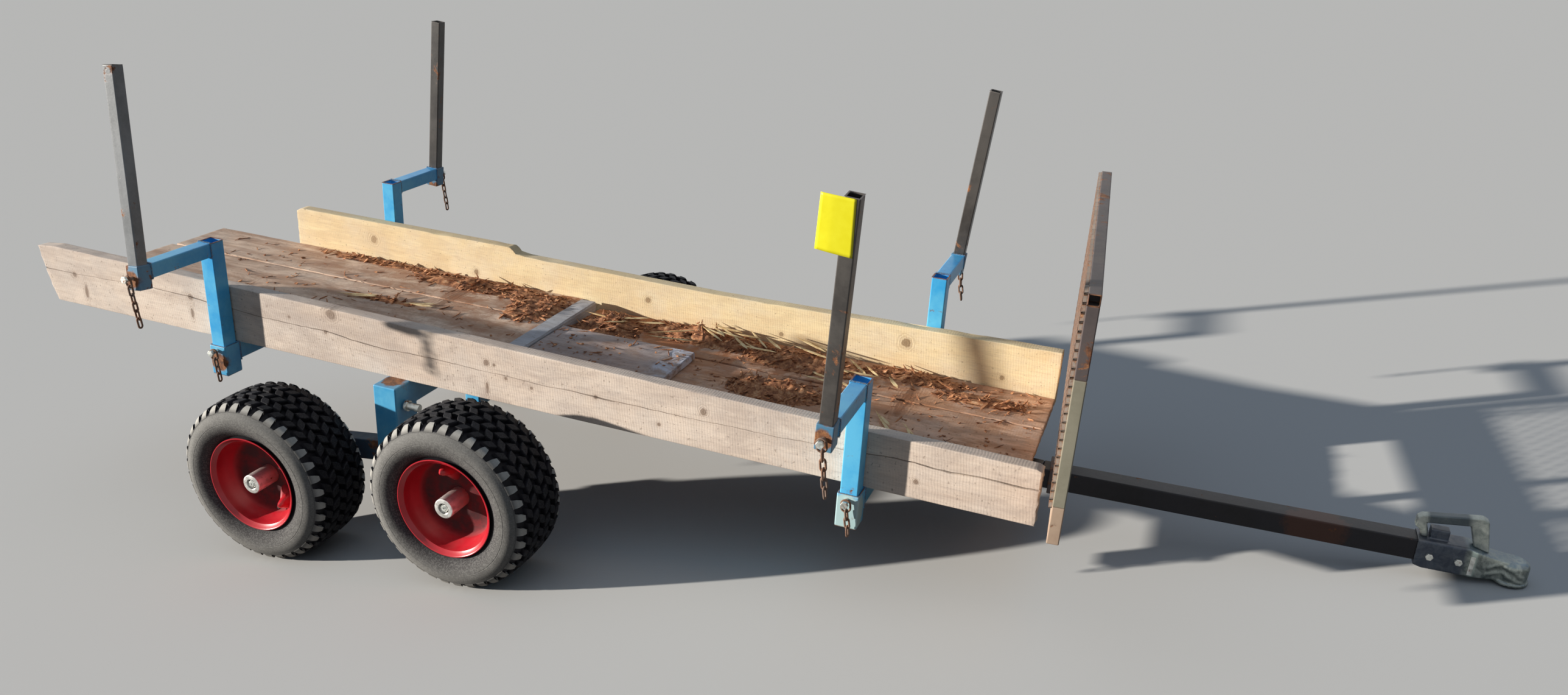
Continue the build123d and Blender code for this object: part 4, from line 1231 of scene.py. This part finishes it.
def lone_board(name, node, u0, u1, v0, v1, w0, w1, material, slot, key):
    """One board with worn edges and uneven faces."""
    def place(a, b, c, inward, ends):
        u = u0 + (u1 - u0) * a + inward[0]
        v = v0 + (v1 - v0) * b + inward[1]
        w = w0 + (w1 - w0) * c + inward[2]
        if ends[0]:
            u += abs(wobble(key, v, w, 18.0, 0.0030)) * inwards(a)
        if ends[1]:
            v += abs(wobble(u, key, w, 30.0, 0.0040)) * inwards(b)
        if c == 1:
            worn_off = 0.004 if ends[0] else 0.0
            w -= abs(wobble(u, v, key, 12.0, 0.0030)) + worn_off + abs(wobble(u, v, key, 60.0, 0.0008))
        return u, v, w
    grid = box_grid(spread(0.008, 0.004, u1 - u0), spread(0.010, 0.003, v1 - v0),
                    [0.0, 0.1, 0.4, 0.7, 0.9, 1.0], place, round_by=0.004)
    board_piece(joined(name, [grid], material, merge=0.0), slot, node)


lone_board("step_batten", "deck_batten", -1.800, -1.738, -0.360, 0.335, 0.0, 0.060, pale_wood,
           "pale_wood", 11.0)
lone_board("deck_patch_board", "deck_patch", -1.7375, -1.250, -0.360, 0.105, 0.0262, 0.052, patch_wood,
           "deck_wood", 17.0)

# Bark and splinters left by the last loads: flat flakes and long slivers that
# lie on the boards, thickest along the left plank and at the step.
bark, tree, shader = surface("bark_bits", Roughness=0.9)
where = own_place(tree)
coat(tree, shader, ramp(tree, grit(tree, where, 55.0, 4.0, 0.7), (0.30, (0.065, 0.028, 0.015)),
                        (0.45, (0.27, 0.105, 0.046)), (0.58, (0.53, 0.24, 0.105)),
                        (0.72, (0.72, 0.48, 0.29))), None, grit(tree, where, 300.0, 3.0), 0.5, 0.001)

litter, given = layout("bark_litter", Flake="Float", Bark="Material")
flake_deep = calc(litter, "MULTIPLY", given["Flake"], 0.30)
flake = one(litter, "GeometryNodeMeshCylinder",
            {"Vertices": 6, "Radius": given["Flake"], "Depth": flake_deep}, fill_type="TRIANGLE_FAN")
spot = one(litter, "GeometryNodeInputPosition")
bent = add(litter, "ShaderNodeTexNoise", {"Vector": spot, "Scale": 90.0, "Detail": 2.0}).outputs["Color"]
pushed = one(litter, "ShaderNodeVectorMath", {0: bent, 1: (0.5, 0.5, 0.5)}, operation="SUBTRACT")
sized = one(litter, "ShaderNodeVectorMath",
            {0: pushed, "Scale": calc(litter, "MULTIPLY", given["Flake"], 1.6)}, operation="SCALE")
curled = one(litter, "GeometryNodeSetPosition", {"Geometry": flake, "Offset": sized})
turned, grown_to = (one(litter, "GeometryNodeInputNamedAttribute", {"Name": label},
                        data_type="FLOAT_VECTOR") for label in ("turn", "size"))
strewn = one(litter, "GeometryNodeInstanceOnPoints",
             {"Points": given["Geometry"], "Instance": curled, "Rotation": turned, "Scale": grown_to})
made_real(litter, strewn, given["Bark"])

chance = random.Random(21)
bit_points = []
bit_turns = []
bit_sizes = []
# Heaps: place along and across, half sizes and height above the boards, with the boards' level.
heaps = ((-2.18, 0.285, 0.30, 0.060, 0.020, 0.050), (-1.90, 0.200, 0.10, 0.140, 0.020, 0.050),
         (-2.62, 0.325, 0.30, 0.030, 0.008, 0.050), (-2.40, 0.016, 0.13, 0.022, 0.010, 0.050),
         (-1.62, 0.200, 0.12, 0.150, 0.036, 0.026), (-1.28, 0.285, 0.28, 0.075, 0.034, 0.026),
         (-0.92, 0.245, 0.22, 0.085, 0.030, 0.026), (-0.93, 0.000, 0.17, 0.085, 0.030, 0.026),
         (-0.56, 0.300, 0.18, 0.050, 0.020, 0.026), (-0.34, 0.230, 0.16, 0.045, 0.014, 0.026),
         (-0.62, -0.120, 0.10, 0.030, 0.010, 0.026))


def heap_height(u, v, cu, cv, hu, hv, high):
    """Height of a heap of bark at a place, less than nothing outside it."""
    d = ((u - cu) / hu) ** 2 + ((v - cv) / hv) ** 2
    rough = 0.75 + 0.9 * noise.noise(Vector((u * 17, v * 17, 2.2)))
    rough += 0.5 * noise.noise(Vector((u * 55, v * 55, 5.1)))
    return high * (1.0 - d) * rough


def scatter(u, v, w, small, large, sliver):
    """Lays one bit of bark down, flat or nearly so."""
    long = chance.uniform(small, large)
    thin = chance.random() < sliver
    bit_points.append(at_bed(u, v, w))
    bit_turns.append((chance.uniform(-0.35, 0.35), bed_pitch + chance.uniform(-0.35, 0.35),
                      chance.uniform(0, 6.28)))
    bit_sizes.append((long * (2.8 if thin else 1.0),
                      long * (0.28 if thin else chance.uniform(0.40, 0.9)),
                      long * chance.uniform(0.5, 1.0)))


heap_cell = 0.011
bits_per_area = 9000
heap_parts = []
for cu, cv, hu, hv, high, level in heaps:
    columns, rows = int(2 * hu / heap_cell), int(2 * hv / heap_cell)
    grid = []
    for j in range(rows + 1):
        for i in range(columns + 1):
            u = cu - hu + 2 * hu * i / columns
            v = min(0.3625, cv - hv + 2 * hv * j / rows)
            rise = heap_height(u, v, cu, cv, hu, hv, high) - 0.002
            grid.append(at_bed(u, v, level + max(-0.004, rise)))
    heap_parts.append((grid, skin(rows + 1, columns + 1, closed=False)))
    wanted = int(hu * hv * bits_per_area)
    while wanted > 0:
        u = chance.uniform(cu - hu, cu + hu)
        v = min(0.352, chance.uniform(cv - hv, cv + hv))
        rise = heap_height(u, v, cu, cv, hu, hv, high)
        if rise > -0.002:
            scatter(u, v, level + max(rise, 0.0) + 0.0005, 0.35, 1.45, 0.35)
            wanted -= 1
# Loose bits over the rest of the boards: number, span along and across, and level.
for count, u0, u1, v0, v1, level in ((240, -3.30, -1.81, -0.34, 0.35, 0.0505),
                                     (120, -1.73, -1.27, -0.34, 0.09, 0.0525),
                                     (420, -1.24, -0.15, -0.35, 0.35, 0.0265)):
    for _ in range(count):
        scatter(chance.uniform(u0, u1), chance.uniform(v0, v1), level, 0.2, 0.9, 0.4)
flake_size = 0.010
heap_piece = in_scene("bark_heaps", joined("bark_heaps", heap_parts, bark))
heap_piece.data.shade_smooth()
bits = grown("bark_bits", litter, bit_points, (), (), Flake=flake_size, Bark=bark, _turn=bit_turns,
             _size=bit_sizes)

straw, tree, shader = surface("straw", Roughness=0.7)
tone = fade(tree, grit(tree, own_place(tree), 40.0, 3.0), 0.35, 0.65)
coat(tree, shader, tint(tree, tone, (0.62, 0.40, 0.18), (0.86, 0.68, 0.38)))
straw_points = []
straw_turns = []
straw_sizes = []
# Peeled strips of bast in bunches: number, middle along and across, spread, level, and which
# way they lie.
bunches = ((15, -1.10, 0.265, 0.20, 0.060, 0.062, -0.35), (8, -0.74, 0.20, 0.14, 0.080, 0.036, -0.5),
           (6, -1.50, 0.22, 0.16, 0.060, 0.056, 0.3), (4, -2.30, 0.02, 0.2, 0.04, 0.058, 0.1),
           (5, -0.50, -0.10, 0.10, 0.05, 0.034, -0.9))
for count, cu, cv, reach_u, reach_v, level, heading in bunches:
    for _ in range(count):
        straw_points.append(at_bed(cu + chance.uniform(-reach_u, reach_u),
                                   cv + chance.uniform(-reach_v, reach_v),
                                   level + chance.uniform(-0.004, 0.004)))
        straw_turns.append((0.0, bed_pitch + chance.uniform(-0.06, 0.06),
                            heading + chance.uniform(-0.45, 0.45)))
        straw_sizes.append((chance.uniform(3.0, 8.5), chance.uniform(0.28, 0.62), 0.6))
straws = grown("bast_strips", litter, straw_points, (), (), Flake=flake_size, Bark=straw,
               _turn=straw_turns, _size=straw_sizes)
for made in (bits, heap_piece, straws):
    belongs(made, "deck_wood")

# Headboard: a frame of 30 mm tube on a deep bottom rail, khaki paint going to
# rust, welded to a saddle on the drawbar.
khaki = painted_steel("khaki_paint", (0.200, 0.185, 0.130), (0.300, 0.280, 0.210), rust=0.32, edge=0.6,
                      gloss=0.55, scale=7.0)
rail_brown = painted_steel("rail_brown", (0.400, 0.270, 0.190), (0.500, 0.360, 0.260), rust=0.25,
                           edge=0.6, dust=0.45, gloss=0.6, scale=9.0)
umber = painted_steel("umber_rust", (0.060, 0.048, 0.048), (0.098, 0.076, 0.074), rust=0.42, dust=0.2,
                      gloss=0.6, scale=12.0)
headboard = bed @ Matrix.Translation((-0.051, 0, 0)) @ Matrix.Rotation(math.radians(4.9), 4, "Z")
half_board = 0.598
bar_half = 0.015
bar_wide = 2 * bar_half


def board_bar(y0, y1, z0, z1, hollow=None):
    """A bar of the headboard's frame."""
    return soft_bar(-bar_half, bar_half, y0, y1, z0, z1, headboard, hollow=hollow)


uprights = [board_bar(y0, y0 + bar_wide, 0.1725, top)
            for y0, top in ((-half_board, 0.500), (half_board - bar_wide, 0.679), (-bar_half, 0.679))]
top_rail = [board_bar(-half_board, half_board, 0.678, 0.708, hollow=(1, 0.03, (-1, 1))),
            board_bar(-half_board, -half_board + bar_wide, 0.5002, 0.679)]
low_rail = [board_bar(-half_board, half_board, 0.072, 0.172)]
for name, bars, paint in (("headboard_bars", uprights, khaki), ("headboard_top_rail", top_rail, umber),
                          ("headboard_low_rail", low_rail, rail_brown)):
    belongs(smooth(in_scene(name, joined(name, bars, paint))), "headboard_steel", "headboard_frame")
softened("headboard_post", 0.0025, umber, "black_steel", steps=2, shortest=0.006)

# Mesh of the headboard: expanded steel, strands slit and pulled into long
# diamonds 47 by 22.5 mm, spot welded to the frame on the load side.
mesh_rust = painted_steel("mesh_rust", (0.210, 0.165, 0.135), (0.310, 0.250, 0.210), rust=0.40,
                          edge=0.3, dust=0.35, gloss=0.6, scale=20.0)
cell_long = 0.0470
cell_short = 0.0225
half_wide = 0.0013
half_deep = 0.00425
slant = 0.00044
knuckle = 0.0050


def strand_cell(flip):
    """One wave of a strand, with a slanted flat section, starting low or high."""
    end = cell_long / 2
    low, high = (cell_short / 2, 0.0) if flip else (0.0, cell_short / 2)
    line = ((-end, low), (-end + knuckle, low), (-knuckle, high), (knuckle, high), (end - knuckle, low),
            (end, low))
    points = []
    for y, z in line:
        back = -half_deep - (slant if z > 0 else -slant)
        for x, rise in ((back, -half_wide - 0.0006), (half_deep, -half_wide + 0.0012),
                        (half_deep, half_wide + 0.0012), (back, half_wide - 0.0006)):
            points.append(Vector((x, y, z + rise)))
    return points, skin(6, 4)


def repeated(tree, unit, count, step):
    """A shape repeated along a line."""
    offset = one(tree, "ShaderNodeCombineXYZ", step)
    line = one(tree, "GeometryNodeMeshLine", {"Count": count, "Offset": offset})
    return one(tree, "GeometryNodeInstanceOnPoints", {"Points": line, "Instance": unit})


weave, given = layout("expanded_mesh", Columns="Int", Rows="Int", Long="Float", Short="Float",
                      Steel="Material")
row = repeated(weave, given["Geometry"], given["Columns"], {1: given["Long"]})
made_real(weave, repeated(weave, row, given["Rows"], {2: given["Short"]}), given["Steel"])

mesh_low, mesh_high = 0.160, 0.702
mesh_half = 0.592
mesh_columns = int(2 * mesh_half / cell_long)
mesh_rows = int((mesh_high - mesh_low) / cell_short)
mesh_parts = []
for flip in (False, True):
    unit_points, unit_faces = strand_cell(flip)
    made = grown("strands_" + str(int(flip)), weave, unit_points, (), unit_faces, Columns=mesh_columns,
                 Rows=mesh_rows, Long=cell_long, Short=cell_short, Steel=mesh_rust)
    lift = cell_short / 2 if flip else 0.0
    first = (-bar_half - 0.0044, -(mesh_columns - 1) * cell_long / 2, mesh_low + 0.004 + lift)
    made.data.transform(headboard @ Matrix.Translation(first))
    mesh_parts.append(taken(made))
weave_piece = in_scene("headboard_weave", joined("headboard_weave", mesh_parts, mesh_rust, merge=1e-6))
belongs(weave_piece, "headboard_steel", "headboard_mesh")

# Coupling: a cast head with a cupped ball socket, galvanised, with raised
# swirls on its cheeks. Its rear part is dark navy, painted shade, and its up-facing
# faces are tinted blue, a painted reflection of the sky.
casting, tree, shader = surface("galvanised_casting", Metallic=0.35)
where = own_place(tree)
frost = grit(tree, where, 48.0, 7.0, 0.7, 0.8)
pale = tint(tree, fade(tree, frost, 0.34, 0.66), (0.130, 0.160, 0.150), (0.430, 0.470, 0.425))
# Up-facing faces turn bluish: a painted reflection of the sky.
painted_sky_on_top = calc(tree, "MULTIPLY", stored(tree, "upper"), fade(tree, frost, 0.30, 0.62, 0.9, 0.4))
pale = tint(tree, painted_sky_on_top, pale, (0.080, 0.160, 0.240))
# The rear part is dark navy: painted shade behind the head.
painted_shade_navy = tint(tree, fade(tree, frost, 0.36, 0.66), (0.030, 0.045, 0.075), (0.090, 0.110, 0.140))
cast_colour = tint(tree, stored(tree, "strap"), tint(tree, stored(tree, "rear"), pale, painted_shade_navy),
                   (0.640, 0.760, 0.680))
worn = use(tree, edge_wear, Vector=where, Radius=0.003, Amount=0.45)["Mask"]
cast_colour = tint(tree, worn, cast_colour, (0.50, 0.50, 0.44))
film = use(tree, dusting, Vector=where, Amount=0.30, Scale=30.0)["Mask"]
coat(tree, shader, tint(tree, film, cast_colour, (0.36, 0.32, 0.27)),
     fade(tree, frost, 0.3, 0.7, 0.38, 0.62), frost, 0.4, 0.0012)

head = set_down(merged("coupling_body"), "coupling_casting", casting)
remesh = head.modifiers.new("remesh", "REMESH")
remesh.mode = "VOXEL"
remesh.voxel_size = 0.0019
relax = head.modifiers.new("relax", "SMOOTH")
relax.factor = 0.5
relax.iterations = 5
settle(head)
# The head's own frame: forward from where the drawbar ends, on the drawbar's slope.
unnose = (bed @ Matrix.Translation((-0.100, 0, -0.055)) @ Matrix.Rotation(math.radians(-1.8), 4, "Y")
          @ Matrix.Translation((1.095, 0, 0))).inverted()
swirls = (((0.050, -0.012), (0.080, 0.004), (0.104, -0.004), (0.128, -0.020)),
          ((0.052, -0.030), (0.084, -0.018), (0.112, -0.030), (0.136, -0.040)))


def strap_on(vertex):
    """How much a point of the head belongs to the bright strap round its cheeks."""
    here = unnose @ vertex.co
    if abs(here.y) <= 0.022 or vertex.normal.z >= 0.5:
        return 0.0
    return 0.9 * math.exp(-((here.x - 0.014) / 0.0075) ** 4)


def from_swirls(x, z):
    """Distance from the nearest swirl, seen from the side."""
    near = 1.0
    for line in swirls:
        for (xa, za), (xb, zb) in zip(line, line[1:]):
            dx, dz = xb - xa, zb - za
            t = held(((x - xa) * dx + (z - za) * dz) / (dx ** 2 + dz ** 2))
            near = min(near, math.hypot(x - xa - t * dx, z - za - t * dz))
    return near


mark(head.data, "rear", lambda v: held((0.004 - (unnose @ v.co).x) / 0.014))
mark(head.data, "upper", lambda v: held((v.normal.z - 0.45) / 0.3))
mark(head.data, "strap", strap_on)
swirl_high, swirl_wide = 0.0026, 0.0052
ways = [v.normal.copy() for v in head.data.vertices]
for vertex, way in zip(head.data.vertices, ways):
    here = unnose @ vertex.co
    if here.x > 0.03 and abs(here.y) > 0.012:
        vertex.co += way * swirl_high * math.exp(-(from_swirls(here.x, here.z) / swirl_wide) ** 2)
head.data.shade_smooth()
belongs(head, "galvanised", "coupling_body")

handle_zinc, tree, shader = surface("handle_zinc", Metallic=0.35)
where = own_place(tree)
frost = grit(tree, where, 40.0, 7.0, 0.7, 0.5)
pale = tint(tree, fade(tree, frost, 0.34, 0.66), (0.250, 0.285, 0.265), (0.500, 0.530, 0.480))
along = one(tree, "ShaderNodeSeparateXYZ", {0: where})
middle = calc(tree, "MULTIPLY", fade(tree, along, 2.024, 2.036), fade(tree, along, 2.134, 2.118))
pale = tint(tree, calc(tree, "MULTIPLY", middle, 0.85), pale, (0.035, 0.055, 0.075))
worn = use(tree, edge_wear, Vector=where, Radius=0.003, Amount=0.5)["Mask"]
coat(tree, shader, tint(tree, worn, pale, (0.62, 0.62, 0.56)), fade(tree, frost, 0.3, 0.7, 0.34, 0.6),
     frost, 0.3, 0.0010)
softened("coupling_handle", 0.0040, handle_zinc, "galvanised", shortest=0.008)
softened("coupling_bolts", 0.0012, zinc_plate, "zinc", steps=2, shortest=0.004)

# Lot tag: a bare yellow card wired to the outer face of the right front stake.
# One edge curls away from the stake.
tag_yellow, tree, shader = surface("tag_yellow", Roughness=0.45)
sheen = grit(tree, own_place(tree), 30.0, 3.0)
coat(tree, shader, tint(tree, fade(tree, sheen, 0.3, 0.7), (0.90, 0.82, 0.010), (0.95, 0.88, 0.020)))
across_tag, up_tag = 12, 18
stake_lean = math.radians(5.5)
stake_half = 0.0185
(u0, w0), (u1, w1) = (-0.5932, 0.7600), (-0.5050, 0.7520)
(u2, w2), (u3, w3) = (-0.5830, 0.8925), (-0.5022, 0.8875)
tag_points = []
for j in range(up_tag + 1):
    for i in range(across_tag + 1):
        s, t = i / across_tag, j / up_tag
        u = (u0 * (1 - s) + u1 * s) * (1 - t) + (u2 * (1 - s) + u3 * s) * t
        w = (w0 * (1 - s) + w1 * s) * (1 - t) + (w2 * (1 - s) + w3 * s) * t
        outwards = (w - arm_tops["front_right"]) * math.tan(stake_lean) + stake_half / math.cos(stake_lean)
        curl = 0.008 * max(0.0, 0.36 - s) * (0.4 + 0.6 * (1 - t))
        tag_points.append(at_bed(u, curl - 0.0006 - (upright_v + arm_reach + outwards), w))
tag = mesh_piece("lot_tag", tag_points, skin(up_tag + 1, across_tag + 1, closed=False), tag_yellow)
thick = tag.modifiers.new("thick", "SOLIDIFY")
thick.thickness = 0.0006
thick.offset = 0.0
settle(tag)
tag.data.shade_smooth()
belongs(tag, None)

low, high = cad_box
